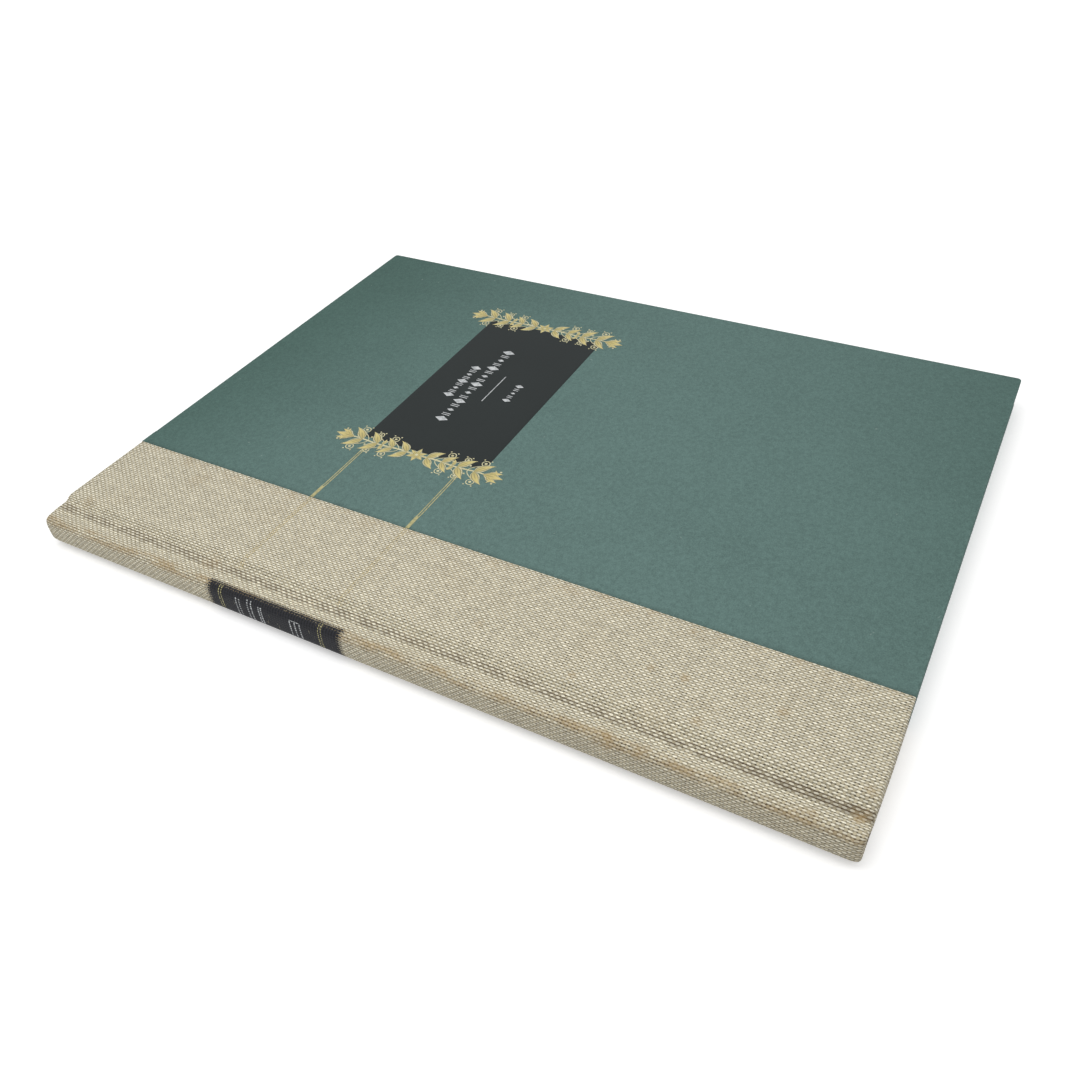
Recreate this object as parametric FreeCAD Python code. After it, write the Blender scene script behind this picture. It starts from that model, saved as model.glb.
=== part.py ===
import FreeCAD, Part
import math
import os

from FreeCAD import Vector

# Quarter-cloth case-bound hardback book, lying closed on its back cover.
# Millimetres. X runs from the spine to the fore-edge, Y from tail to head, Z up.
# The origin is the middle of the closed book's footprint, on the surface that it lies on.
# The functions build along "across", the distance from the spine's outermost line towards the
# fore-edge, and "depth", the distance down from the front cover's outer face. The last step
# moves each piece so that the origin lies under the middle of the cover.

# Covers
COVER_WIDTH = 182.3            # spine's outermost line to the fore-edge
COVER_HEIGHT = 240.0           # tail to head
BOARD_THICKNESS = 2.3
CORNER_RADIUS = 1.2            # board corners at the fore-edge, seen from above
EDGE_ROUNDING = 0.35           # paper pulled round the board's outer edges
TURN_IN = 15.0                 # covering folded round onto the inside of a board

# Sheet thicknesses
PAPER_THICKNESS = 0.2          # siding paper
CLOTH_THICKNESS = 0.4          # spine and joint cloth
ENDPAPER_THICKNESS = 0.15
MULL_THICKNESS = 0.1           # open gauze that ties the pages to the boards
LINING_THICKNESS = 0.2         # kraft lining on the spine of the pages

# Pages
PAGES_THICKNESS = 5.5
SQUARE = 3.2                   # overhang of the boards past the pages
PASTEDOWN_SET_BACK = 3.0       # pastedown's edge to the board's edge
PASTEDOWN_STEP = 0.6           # slope where the pastedown sinks inside the turn-ins

# Spine
SPINE_DEPTH = 2.95             # rounded spine, outermost line to its shoulder
SPINE_SHOULDER = 1.44          # depth of the shoulder below the cover's face
SPINE_CARD_THICKNESS = 0.8
SPINE_CARD_LIMIT = 0.55        # card ends this far short of the shoulder line
SPINE_END_ROUNDING = 1.2       # cloth turned over the card at head and tail
HEADBAND_RADIUS = 0.8
HEADBAND_TAIL = 12.0           # its cloth tongue glued down the spine
HEADBAND_CLEARANCE = 0.7       # headband's ends to the faces of the pages
SPINE_LINING_CLEARANCE = 0.2   # lining's sides to the faces of the pages

# French groove between spine and board
HINGE_ACROSS = 4.4             # line about which each cover folds
HINGE_DEPTH = 1.6
OPEN_CLEARANCE = 0.4           # spine to the edge of a cover that is opened flat beside it
GROOVE_START = 5.6             # across, near edge of its flat floor
GROOVE_END = 8.0               # across, far edge of its flat floor
GROOVE_UNDER_HINGE = 0.2       # floor of the groove below the folding line
RAMP_END = 11.8                # across, where the cloth reaches the cover's face
MULL_WING = 20.0               # gauze glued down on the board
MULL_CLEARANCE = 0.8           # gauze ends short of the turn-ins at head and tail

# Cloth and siding paper
CLOTH_EDGE = 40.4              # across, where the siding paper starts
CLOTH_UNDER_PAPER = 5.4

# Printed label and foil, pressed slightly into the paper and the cloth
LABEL_NEAR = 71.8              # across
LABEL_FAR = 150.6
LABEL_TAIL = 11.5              # along Y
LABEL_HEAD = 55.0
LABEL_PRESS = 0.03             # label's face below the paper's face
LABEL_THICKNESS = 0.07
FOIL_PRESS = 0.01
FOIL_THICKNESS = 0.05
ORNAMENT_RISE = 1.15           # middle of the garlands and rules above the label's middle
ORNAMENT_REACH = 30.2          # half the garland's length
GARLAND_OFFSET = 1.6           # garland's stem outside the label's end
RULE_SPREAD = 16.8             # rules to the ornament's middle
RULE_WIDTH = 0.35
RULE_GAP = 0.45                # between the two lines of a rule
RULE_CLEARANCE = 5.0           # rule's end to the garland's stem
STEM_WIDTH = 0.7
LEAF_WIDTH = 2.3
BERRY_RADIUS = 0.65
RING_RADIUS = 2.1
RING_WIDTH = 0.6

# Spine label
SPINE_LABEL_TAIL = 11.0
SPINE_LABEL_HEAD = 55.6
SPINE_RULE_MARGIN = 4.6        # label's end to its double rule
SPINE_MARK_WIDTH = 1.5
SPINE_MARK_LENGTH = 3.4

# Sizes worked out from the ones above
COVER_THICKNESS = 2 * PAPER_THICKNESS + BOARD_THICKNESS + ENDPAPER_THICKNESS
THICKNESS = 2 * (COVER_THICKNESS + ENDPAPER_THICKNESS) + PAGES_THICKNESS
HALF_HEIGHT = COVER_HEIGHT / 2
HALF_PAGES = HALF_HEIGHT - SQUARE
HALF_MULL = HALF_HEIGHT - TURN_IN - MULL_CLEARANCE
LINED_DEPTH = COVER_THICKNESS - ENDPAPER_THICKNESS     # board's inner face with its turn-ins
BOARD_INNER = LINED_DEPTH - PAPER_THICKNESS            # bare inner face of the board
PAGES_DEPTH = COVER_THICKNESS + ENDPAPER_THICKNESS
BOARD_START = 2 * HINGE_ACROSS + OPEN_CLEARANCE        # across, near edge of the board
GROOVE_DEPTH = HINGE_DEPTH + GROOVE_UNDER_HINGE
SPINE_HALF = THICKNESS / 2 - SPINE_SHOULDER
ORNAMENT_MIDDLE = (LABEL_TAIL + LABEL_HEAD) / 2 + ORNAMENT_RISE
GARLAND_NEAR = LABEL_NEAR - GARLAND_OFFSET
GARLAND_FAR = LABEL_FAR + GARLAND_OFFSET
SHOULDER = SPINE_DEPTH
BIG = 2 * COVER_HEIGHT


def z_at(depth):
    return THICKNESS - depth


def block(across, along, depths):
    """Box between two distances across, two places along Y and two depths."""
    corner = Vector(across[0], along[0], z_at(depths[1]))
    return Part.makeBox(across[1] - across[0], along[1] - along[0], depths[1] - depths[0], corner)


def centred(across, half_length, depths):
    """Box that runs as far towards the tail as towards the head."""
    return block(across, (-half_length, half_length), depths)


def mirrored(shape):
    """The same piece on the back cover's side."""
    return shape.mirror(Vector(0, 0, THICKNESS / 2), Vector(0, 0, 1))


def upright_edges(shape, corner_across):
    """Vertical edges of a shape that stand at a distance across."""
    return [e for e in shape.Edges
            if all(abs(v.X - corner_across) < 1e-4 for v in e.Vertexes)
            and abs(e.Vertexes[0].Z - e.Vertexes[-1].Z) > 1e-4]


def slope(start, end, drop):
    """Smooth S-shaped section line between two (across, depth) points, level at both."""
    middle = (start[0] + end[0]) / 2
    poles = [start, (middle, start[1]), (middle, end[1]), end]
    curve = Part.BezierCurve()
    curve.setPoles([Vector(a, 0, z_at(d + drop)) for a, d in poles])
    return curve.toShape()


def under_groove(drop, floor_depth, half_length):
    """Solid under the cloth's line from the spine's shoulder, through the groove, to the face
    of the cover. The line is lowered by drop, and the solid ends at a floor."""
    shoulder, rim = (SHOULDER, SPINE_SHOULDER), (RAMP_END, 0.0)
    near, far = (GROOVE_START, GROOVE_DEPTH), (GROOVE_END, GROOVE_DEPTH)
    points = {name: Vector(across, 0, z_at(depth))
              for name, across, depth in (("near", near[0], near[1] + drop),
                                          ("far", far[0], far[1] + drop),
                                          ("start", shoulder[0], shoulder[1] + drop),
                                          ("end", rim[0], rim[1] + drop),
                                          ("start_low", shoulder[0], floor_depth),
                                          ("end_low", rim[0], floor_depth))}
    edges = [slope(shoulder, near, drop), Part.makeLine(points["near"], points["far"]),
             slope(far, rim, drop), Part.makeLine(points["end"], points["end_low"]),
             Part.makeLine(points["end_low"], points["start_low"]),
             Part.makeLine(points["start_low"], points["start"])]
    face = Part.Face(Part.Wire(edges))
    face.translate(Vector(0, -half_length, 0))
    return face.extrude(Vector(0, 2 * half_length, 0))


def spine_oval(inset, half_length):
    """Rounded spine: the half of an elliptic cylinder that lies outside its shoulder line."""
    depth, half = SPINE_DEPTH - inset, SPINE_HALF - inset
    centre = Vector(SHOULDER, -half_length, THICKNESS / 2)
    long_end = centre + Vector(0, 0, half)
    short_end = centre - Vector(depth, 0, 0)
    oval = Part.Ellipse(long_end, short_end, centre)
    face = Part.Face(Part.Wire(oval.toShape()))
    solid = face.extrude(Vector(0, 2 * half_length, 0))
    outside = centred((-1.0, SHOULDER), half_length, (-1.0, THICKNESS + 1.0))
    return solid.common(outside)


def board_part():
    """Greyboard, pressed down where the cloth, the paper and the gauze lie on it."""
    cloth = CLOTH_THICKNESS
    paper = PAPER_THICKNESS
    overlap_end = CLOTH_EDGE + CLOTH_UNDER_PAPER
    near = under_groove(cloth, LINED_DEPTH - cloth, HALF_HEIGHT - cloth)
    near = near.common(centred((BOARD_START, RAMP_END), BIG, (-1.0, THICKNESS)))
    flat = centred((RAMP_END, CLOTH_EDGE), HALF_HEIGHT - cloth, (cloth, LINED_DEPTH - cloth))
    under = centred((CLOTH_EDGE, overlap_end), HALF_HEIGHT - paper - cloth,
                    (paper + cloth, LINED_DEPTH - paper - cloth))
    wide = centred((overlap_end, COVER_WIDTH - paper), HALF_HEIGHT - paper, (paper, BOARD_INNER))
    wide = wide.makeFillet(CORNER_RADIUS - paper, upright_edges(wide, COVER_WIDTH - paper))
    between = centred((BOARD_START, overlap_end), HALF_HEIGHT - TURN_IN,
                      (LINED_DEPTH - paper - cloth - 0.1 * BOARD_THICKNESS, BOARD_INNER))
    board = near.multiFuse([flat, under, wide, between]).removeSplitter()
    return board.cut(mull_wing_part())


def mull_wing_part():
    """Gauze glued under the pastedown, sunk into the board's inner face."""
    return centred((BOARD_START, BOARD_START + MULL_WING), HALF_MULL,
                   (BOARD_INNER - MULL_THICKNESS, BOARD_INNER))


def joint_cloth_part():
    """Cloth across the groove, doubled at head and tail where it is turned in."""
    deepest = GROOVE_DEPTH + 3 * CLOTH_THICKNESS
    top = under_groove(0.0, deepest, HALF_HEIGHT)
    single = top.cut(under_groove(CLOTH_THICKNESS, deepest, BIG))
    double = top.cut(under_groove(2 * CLOTH_THICKNESS, deepest, BIG))
    ends = double.cut(centred((0.0, RAMP_END + 1.0), HALF_HEIGHT - TURN_IN, (-1.0, THICKNESS)))
    reach = centred((SHOULDER, BOARD_START), BIG, (-1.0, THICKNESS))
    return single.fuse(ends).common(reach).removeSplitter()


def side_cloth_part():
    """Cloth on the board, turned in at head and tail, with its edge under the paper."""
    cloth = CLOTH_THICKNESS
    paper = PAPER_THICKNESS
    overlap_end = CLOTH_EDGE + CLOTH_UNDER_PAPER
    ramp = under_groove(0.0, LINED_DEPTH, HALF_HEIGHT)
    ramp = ramp.common(centred((BOARD_START, RAMP_END), BIG, (-1.0, THICKNESS)))
    flat = centred((RAMP_END, CLOTH_EDGE), HALF_HEIGHT, (0.0, LINED_DEPTH))
    under = centred((CLOTH_EDGE, overlap_end), HALF_HEIGHT - paper, (paper, LINED_DEPTH - paper))
    body = ramp.multiFuse([flat, under])
    ramp_core = under_groove(cloth, LINED_DEPTH - cloth, HALF_HEIGHT - cloth)
    ramp_core = ramp_core.common(centred((0.0, RAMP_END), BIG, (-1.0, THICKNESS)))
    flat_core = centred((RAMP_END, CLOTH_EDGE), HALF_HEIGHT - cloth, (cloth, LINED_DEPTH - cloth))
    under_core = centred((CLOTH_EDGE, overlap_end), HALF_HEIGHT - paper - cloth,
                         (paper + cloth, LINED_DEPTH - paper - cloth))
    window = centred((0.0, overlap_end), HALF_HEIGHT - TURN_IN,
                     (LINED_DEPTH - paper - cloth - 0.1 * BOARD_THICKNESS, LINED_DEPTH))
    return body.cut(ramp_core).cut(flat_core).cut(under_core).cut(window).removeSplitter()


def siding_paper_part():
    """Paper over the board and the cloth's edge, turned in on three sides."""
    paper = PAPER_THICKNESS
    body = centred((CLOTH_EDGE, COVER_WIDTH), HALF_HEIGHT, (0.0, LINED_DEPTH))
    body = body.makeFillet(CORNER_RADIUS, upright_edges(body, COVER_WIDTH))
    rim = [e for e in body.Edges
           if all(abs(v.Z - THICKNESS) < 1e-4 for v in e.Vertexes)
           and any(v.X > CLOTH_EDGE + 1e-3 for v in e.Vertexes)]
    body = body.makeFillet(EDGE_ROUNDING, rim)
    core = centred((0.0, COVER_WIDTH - paper), HALF_HEIGHT - paper, (paper, BOARD_INNER))
    core = core.makeFillet(CORNER_RADIUS - paper, upright_edges(core, COVER_WIDTH - paper))
    window = centred((0.0, COVER_WIDTH - TURN_IN), HALF_HEIGHT - TURN_IN,
                     (BOARD_INNER, LINED_DEPTH))
    return body.cut(core).cut(window)


def pastedown_part():
    """Endpaper glued inside the cover: it lies over the turn-ins and sinks between them."""
    far = COVER_WIDTH - PASTEDOWN_SET_BACK
    sheet = centred((BOARD_START, far), HALF_HEIGHT - PASTEDOWN_SET_BACK,
                    (LINED_DEPTH, COVER_THICKNESS))
    window_far = COVER_WIDTH - TURN_IN
    sunk = centred((BOARD_START, window_far), HALF_HEIGHT - TURN_IN, (BOARD_INNER, LINED_DEPTH))
    hollow = centred((BOARD_START + PASTEDOWN_STEP, window_far - PASTEDOWN_STEP),
                     HALF_HEIGHT - TURN_IN - PASTEDOWN_STEP,
                     (BOARD_INNER + ENDPAPER_THICKNESS, COVER_THICKNESS))
    return sheet.fuse(sunk).cut(hollow).removeSplitter()


def endpaper_fold_part():
    """Strip of endpaper between the pages' spine edge and the board."""
    return centred((SHOULDER, BOARD_START), HALF_PAGES, (LINED_DEPTH, COVER_THICKNESS))


def flyleaf_part():
    return centred((SHOULDER, COVER_WIDTH - SQUARE), HALF_PAGES, (COVER_THICKNESS, PAGES_DEPTH))


def pages_part():
    return centred((SHOULDER, COVER_WIDTH - SQUARE), HALF_PAGES,
                   (PAGES_DEPTH, THICKNESS - PAGES_DEPTH))


def spine_mull_part():
    """Gauze glued along the spine of the pages."""
    return centred((SHOULDER - MULL_THICKNESS, SHOULDER), HALF_MULL,
                   (PAGES_DEPTH, THICKNESS - PAGES_DEPTH))


def spine_lining_part():
    """Kraft paper over the gauze, and on the bare pages beyond its ends."""
    edge = SHOULDER - MULL_THICKNESS
    first = PAGES_DEPTH + SPINE_LINING_CLEARANCE
    depths = (first, THICKNESS - first)
    sheet = centred((edge - LINING_THICKNESS, edge), HALF_PAGES, depths)
    ends = centred((edge, SHOULDER), HALF_PAGES, depths)
    ends = ends.cut(centred((0.0, SHOULDER), HALF_MULL, (0.0, THICKNESS)))
    return sheet.fuse(ends).removeSplitter()


def headband_part():
    """Rolled band on the head edge of the pages, with a tongue down their spine."""
    depths = (PAGES_DEPTH + HEADBAND_CLEARANCE, THICKNESS - PAGES_DEPTH - HEADBAND_CLEARANCE)
    back = SHOULDER - MULL_THICKNESS - LINING_THICKNESS
    roll_across = back + HEADBAND_RADIUS
    height = depths[1] - depths[0]
    base = Vector(roll_across, HALF_PAGES, z_at(depths[1]))
    roll = Part.makeCylinder(HEADBAND_RADIUS, height, base, Vector(0, 0, 1))
    roll = roll.common(block((0.0, BOARD_START), (HALF_PAGES, HALF_HEIGHT), depths))
    tongue = block((back - LINING_THICKNESS, back),
                   (HALF_PAGES - HEADBAND_TAIL, HALF_PAGES), depths)
    foot = block((back - LINING_THICKNESS, back + HEADBAND_RADIUS),
                 (HALF_PAGES, HALF_PAGES + HEADBAND_RADIUS / 2), depths)
    return roll.multiFuse([tongue, foot]).removeSplitter()


def spine_card_part():
    """Thin card that stiffens the spine's cloth."""
    outer = spine_oval(CLOTH_THICKNESS, HALF_HEIGHT - CLOTH_THICKNESS)
    inner = spine_oval(CLOTH_THICKNESS + SPINE_CARD_THICKNESS, HALF_HEIGHT)
    reach = centred((0.0, SHOULDER - SPINE_CARD_LIMIT), BIG, (0.0, THICKNESS))
    return outer.cut(inner).common(reach)


def spine_cloth_part():
    """Cloth round the spine, turned over the card at head and tail."""
    folded = 2 * CLOTH_THICKNESS + SPINE_CARD_THICKNESS
    outer = spine_oval(0.0, HALF_HEIGHT)
    ends = [e for e in outer.Edges
            if all(abs(abs(v.Y) - HALF_HEIGHT) < 1e-4 for v in e.Vertexes)
            and abs(e.BoundBox.XMin) < 1e-3]
    outer = outer.makeFillet(SPINE_END_ROUNDING, ends)
    layer = outer.cut(spine_oval(CLOTH_THICKNESS, BIG))
    inside = spine_oval(CLOTH_THICKNESS, HALF_HEIGHT - CLOTH_THICKNESS)
    reach = centred((0.0, SHOULDER - SPINE_CARD_LIMIT), BIG, (0.0, THICKNESS))
    turned = outer.cut(inside).cut(spine_oval(folded, BIG)).common(reach)
    tongue = spine_oval(CLOTH_THICKNESS + SPINE_CARD_THICKNESS, HALF_HEIGHT)
    tongue = tongue.cut(spine_oval(folded, BIG)).common(reach)
    tongue = tongue.cut(centred((0.0, SHOULDER), HALF_HEIGHT - TURN_IN, (0.0, THICKNESS)))
    tongue = tongue.common(outer)
    return layer.multiFuse([turned, tongue]).removeSplitter()


def spine_layer(press, thickness):
    """Thin layer of the rounded spine, pressed in from its outer face."""
    return spine_oval(press, BIG).cut(spine_oval(press + thickness, 2 * BIG))


def along_spine(tail, head):
    return block((-1.0, SHOULDER), (tail, head), (-1.0, THICKNESS + 1.0))


def rule_places(middle):
    """Ends of the two lines of a double rule, along Y."""
    half = RULE_GAP / 2 + RULE_WIDTH
    return [(middle - half, middle - RULE_GAP / 2), (middle + RULE_GAP / 2, middle + half)]


def spine_label_blank():
    layer = spine_layer(0.0, LABEL_PRESS + LABEL_THICKNESS)
    return layer.common(along_spine(SPINE_LABEL_TAIL, SPINE_LABEL_HEAD))


def spine_rules_part():
    """Double gold rules near both ends of the spine label."""
    layer = spine_layer(LABEL_PRESS, FOIL_THICKNESS)
    lines = []
    for middle in (SPINE_LABEL_TAIL + SPINE_RULE_MARGIN, SPINE_LABEL_HEAD - SPINE_RULE_MARGIN):
        lines += [layer.common(along_spine(*ends)) for ends in rule_places(middle)]
    return Part.makeCompound([solid for line in lines for solid in line.Solids])


def lozenge(across, along, half_across, half_along):
    """Flat diamond in the cover's plane."""
    corners = [(across - half_across, along), (across, along - half_along),
               (across + half_across, along), (across, along + half_along)]
    points = [Vector(a, y, 0) for a, y in corners]
    return Part.Face(Part.makePolygon(points + points[:1]))


def spine_marks_part():
    """Row of plain silver lozenges along the middle of the spine label."""
    layer = spine_layer(LABEL_PRESS, FOIL_THICKNESS)
    places = [ORNAMENT_MIDDLE + step * 1.35 * SPINE_MARK_LENGTH for step in (-2, -1, 0, 1, 2)]
    marks = []
    for place in places:
        half_up, half_long = SPINE_MARK_WIDTH / 2, SPINE_MARK_LENGTH / 2
        middle = THICKNESS / 2
        points = [Vector(-1.0, place, middle - half_up),
                  Vector(-1.0, place - half_long, middle),
                  Vector(-1.0, place, middle + half_up),
                  Vector(-1.0, place + half_long, middle)]
        face = Part.Face(Part.makePolygon(points + points[:1]))
        marks += layer.common(face.extrude(Vector(1.0 + SPINE_DEPTH / 2, 0, 0))).Solids
    return Part.makeCompound(marks)


def label_part():
    return block((LABEL_NEAR, LABEL_FAR), (LABEL_TAIL, LABEL_HEAD),
                 (LABEL_PRESS, LABEL_PRESS + LABEL_THICKNESS))


def pressed(outlines):
    """Dent of joined flat outlines, from the foil's underside up to the cover's face."""
    depth = FOIL_PRESS + FOIL_THICKNESS
    solids = [outline.extrude(Vector(0, 0, depth)) for outline in outlines]
    dent = solids[0].multiFuse(solids[1:]).removeSplitter() if len(solids) > 1 else solids[0]
    dent.translate(Vector(0, 0, z_at(depth)))
    return dent


def foil(dent):
    """Foil that lies on the floor of its dent."""
    layer = centred((0.0, COVER_WIDTH), HALF_HEIGHT, (FOIL_PRESS, FOIL_PRESS + FOIL_THICKNESS))
    return Part.makeCompound(dent.common(layer).Solids)


def strip(across, along):
    """Flat rectangle in the cover's plane."""
    corner = Vector(across[0], along[0], 0)
    return Part.makePlane(across[1] - across[0], along[1] - along[0], corner)


def disc(across, along, radius):
    circle = Part.Circle(Vector(across, along, 0), Vector(0, 0, 1), radius)
    return Part.Face(Part.Wire(circle.toShape()))


def leaf(across, along, length, width, angle):
    """Pointed leaf of two arcs, from its root at (across, along), turned by angle from +X."""
    turn = math.radians(angle)
    ahead = Vector(math.cos(turn), math.sin(turn), 0)
    aside = Vector(-math.sin(turn), math.cos(turn), 0)
    root = Vector(across, along, 0)
    tip = root + ahead * length
    belly = root + ahead * (0.42 * length)
    left = Part.Arc(root, belly + aside * (width / 2), tip).toShape()
    right = Part.Arc(tip, belly - aside * (width / 2), root).toShape()
    return Part.Face(Part.Wire([left, right]))


def garland_dent(stem):
    """Laurel spray on a straight stem: a ring in the middle, leaves and berries to both ends."""
    outlines = [disc(stem, ORNAMENT_MIDDLE, RING_RADIUS).cut(
        disc(stem, ORNAMENT_MIDDLE, RING_RADIUS - RING_WIDTH))]
    reach = ORNAMENT_REACH
    for side in (-1, 1):
        start = ORNAMENT_MIDDLE + side * (RING_RADIUS - RING_WIDTH / 2)
        end = ORNAMENT_MIDDLE + side * 0.86 * reach
        outlines.append(strip((stem - STEM_WIDTH / 2, stem + STEM_WIDTH / 2),
                              (min(start, end), max(start, end))))
        tip = ORNAMENT_MIDDLE + side * 0.83 * reach
        outlines.append(leaf(stem, tip, 0.17 * reach, 1.2 * LEAF_WIDTH, side * 90))
        for share, size, spread in ((0.12, 0.20, 40), (0.30, 0.21, 39), (0.48, 0.20, 38),
                                    (0.66, 0.24, 34), (0.78, 0.13, 50)):
            root = ORNAMENT_MIDDLE + side * share * reach
            for hand in (-1, 1):
                angle = 90 - hand * (90 - spread)
                outlines.append(leaf(stem, root, size * reach, LEAF_WIDTH, side * angle))
        for share in (0.25, 0.43, 0.61):
            place = ORNAMENT_MIDDLE + side * share * reach
            for hand in (-1, 1):
                outlines.append(disc(stem + hand * (STEM_WIDTH / 2 + BERRY_RADIUS * 0.8),
                                     place, BERRY_RADIUS))
    return pressed(outlines)


def cover_rules_dent():
    """Two double gold rules from the cloth's edge to the near garland."""
    outlines = []
    for side in (-1, 1):
        for ends in rule_places(ORNAMENT_MIDDLE + side * RULE_SPREAD):
            outlines.append(strip((CLOTH_EDGE, GARLAND_NEAR - RULE_CLEARANCE), ends))
    return pressed(outlines)


def label_marks_dent():
    """Generic silver ornament in the label's title place: lozenges in rows and a short rule."""
    middle = (LABEL_NEAR + LABEL_FAR) / 2
    width = LABEL_FAR - LABEL_NEAR
    height = LABEL_HEAD - LABEL_TAIL
    outlines = []
    rows = ((0.735, 5, 0.055, 0.030, 0.026), (0.61, 9, 0.068, 0.034, 0.030),
            (0.29, 3, 0.055, 0.024, 0.020))
    for share, count, pitch, half_across, half_along in rows:
        place = LABEL_TAIL + share * height
        for index in range(count):
            across = middle + (index - (count - 1) / 2) * pitch * width
            small = 0.55 if index % 2 else 1.0
            outlines.append(lozenge(across, place, small * half_across * width / 2,
                                    small * half_along * width))
    rule_half = 0.1 * width
    rule_place = LABEL_TAIL + 0.455 * height
    outlines.append(strip((middle - rule_half, middle + rule_half),
                          (rule_place - RULE_WIDTH / 2, rule_place + RULE_WIDTH / 2)))
    return pressed(outlines)


def label_dent():
    return block((LABEL_NEAR, LABEL_FAR), (LABEL_TAIL, LABEL_HEAD),
                 (0.0, LABEL_PRESS + LABEL_THICKNESS))


def build():
    """All pieces by name."""
    parts = {}
    cover = {"board": board_part(), "siding_paper": siding_paper_part(),
             "side_cloth": side_cloth_part(), "joint_cloth": joint_cloth_part(),
             "mull_wing": mull_wing_part(), "pastedown": pastedown_part(),
             "endpaper_fold": endpaper_fold_part(), "flyleaf": flyleaf_part()}
    for name, shape in cover.items():
        parts["front_" + name] = shape
        parts["back_" + name] = mirrored(shape)

    near = garland_dent(GARLAND_NEAR)
    far = near.translated(Vector(GARLAND_FAR - GARLAND_NEAR, 0, 0))
    garlands = Part.makeCompound([near, far])
    rules, marks, label = cover_rules_dent(), label_marks_dent(), label_part()
    paper = parts["front_siding_paper"]
    parts["front_siding_paper"] = paper.cut(label_dent()).cut(garlands).cut(rules)
    parts["cover_label"] = label.cut(garlands).cut(marks)
    parts["near_garland_foil"] = foil(near)
    parts["far_garland_foil"] = foil(far)
    parts["cover_rules_foil"] = foil(rules)
    parts["label_marks_foil"] = foil(marks)

    blank = spine_label_blank()
    spine_rules, spine_marks = spine_rules_part(), spine_marks_part()
    pressed = spine_layer(LABEL_PRESS, LABEL_THICKNESS)
    parts["spine_cloth"] = spine_cloth_part().cut(blank)
    parts["spine_label"] = blank.common(pressed).cut(spine_rules).cut(spine_marks)
    parts["spine_rules_foil"] = spine_rules
    parts["spine_marks_foil"] = spine_marks

    parts["text_block"] = pages_part()
    parts["spine_mull"] = spine_mull_part()
    parts["spine_lining"] = spine_lining_part()
    parts["spine_card"] = spine_card_part()
    parts["head_band"] = headband_part()
    parts["tail_band"] = headband_part().mirror(Vector(0, 0, 0), Vector(0, 1, 0))
    return parts


def main():
    os.makedirs("parts", exist_ok=True)
    for name, shape in build().items():
        shape.translate(Vector(-COVER_WIDTH / 2, 0, 0))
        solids = shape.Solids
        result = solids[0] if len(solids) == 1 else Part.makeCompound(solids)
        if not result.isValid():
            raise ValueError(name + " is not a valid solid")
        result.exportStep("parts/" + name + ".step")
        box = result.BoundBox
        print(f"{name:22s} solids {len(solids):3d} volume {result.Volume:10.2f} "
              f"x {box.XMin:8.2f} {box.XMax:8.2f} y {box.YMin:8.2f} {box.YMax:8.2f} "
              f"z {box.ZMin:6.2f} {box.ZMax:6.2f}")


main()
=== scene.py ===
"""Looks of a thin quarter-bound hardback book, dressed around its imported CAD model.

The case is a natural woven cloth over the spine and the near part of both boards, a green
paper over the rest, a near-black title panel between two gold leaf sprays, and gold rules.
Working places are in millimetres: "across" runs from the spine's outermost line to the fore
edge, "along" runs from the tail to the head, and "depth" runs down from the front face.
"""

from __future__ import annotations

import logging
import math
from dataclasses import dataclass, field
from enum import Enum

import bpy
import numpy as np
from mathutils import Matrix, Vector


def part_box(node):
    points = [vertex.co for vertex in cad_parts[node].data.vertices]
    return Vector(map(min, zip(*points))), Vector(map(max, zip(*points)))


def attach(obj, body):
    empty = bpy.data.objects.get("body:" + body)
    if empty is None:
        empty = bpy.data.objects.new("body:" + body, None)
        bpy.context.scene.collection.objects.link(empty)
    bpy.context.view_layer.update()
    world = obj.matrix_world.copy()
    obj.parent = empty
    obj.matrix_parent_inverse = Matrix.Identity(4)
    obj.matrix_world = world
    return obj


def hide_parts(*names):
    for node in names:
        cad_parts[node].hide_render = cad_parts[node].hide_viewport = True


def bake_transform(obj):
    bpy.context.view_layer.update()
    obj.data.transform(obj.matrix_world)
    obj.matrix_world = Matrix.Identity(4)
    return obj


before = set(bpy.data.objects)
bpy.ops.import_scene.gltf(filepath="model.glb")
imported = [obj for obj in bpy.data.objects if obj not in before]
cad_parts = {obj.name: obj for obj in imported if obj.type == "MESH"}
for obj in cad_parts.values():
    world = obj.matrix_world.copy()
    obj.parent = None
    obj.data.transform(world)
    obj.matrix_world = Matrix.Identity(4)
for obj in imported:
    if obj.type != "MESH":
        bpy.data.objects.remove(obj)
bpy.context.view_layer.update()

LOG = logging.getLogger("hardback_book")
MM = 0.001
CLOTH_UV = "cloth_mm"
LEAF_UV = "leaf_place"
PLAIN = 2.0             # start of the own coordinate of a foil strip that is no leaf
SPINE_THREADS = 17      # whole columns round the spine, so that the weave meets itself
BEND_START = 0.05       # distances beyond the shoulder where a sheet over a joint would start to turn with the cover and go all the way with it; no sheet is bent by them
BEND_END = 4.65         # turn with the cover and where it goes all the way with it
BEND_DEPTH = 2.0        # depth of the line that both are measured at


class Side(Enum):
    """Which cover a piece belongs to."""

    FRONT = "front"
    BACK = "back"


class Foil(Enum):
    """Record slots of the two blocking foils."""

    GOLD = "gold_foil"
    SILVER = "silver_foil"


@dataclass(frozen=True)
class Thread:
    """Section and wave of the threads of one direction, as heights of the weave.

    Attributes:
        pitch: distance between two threads in millimetres.
        stand: height of the crown where the thread's wave is level.
        swing: how far the wave carries the crown up and down.
        rounding: how far the section falls off, times the square of the place across it.
        slub: how much the slow thickenings along a thread change its tone.
    """

    pitch: float
    stand: float
    swing: float
    rounding: float
    slub: float


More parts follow.
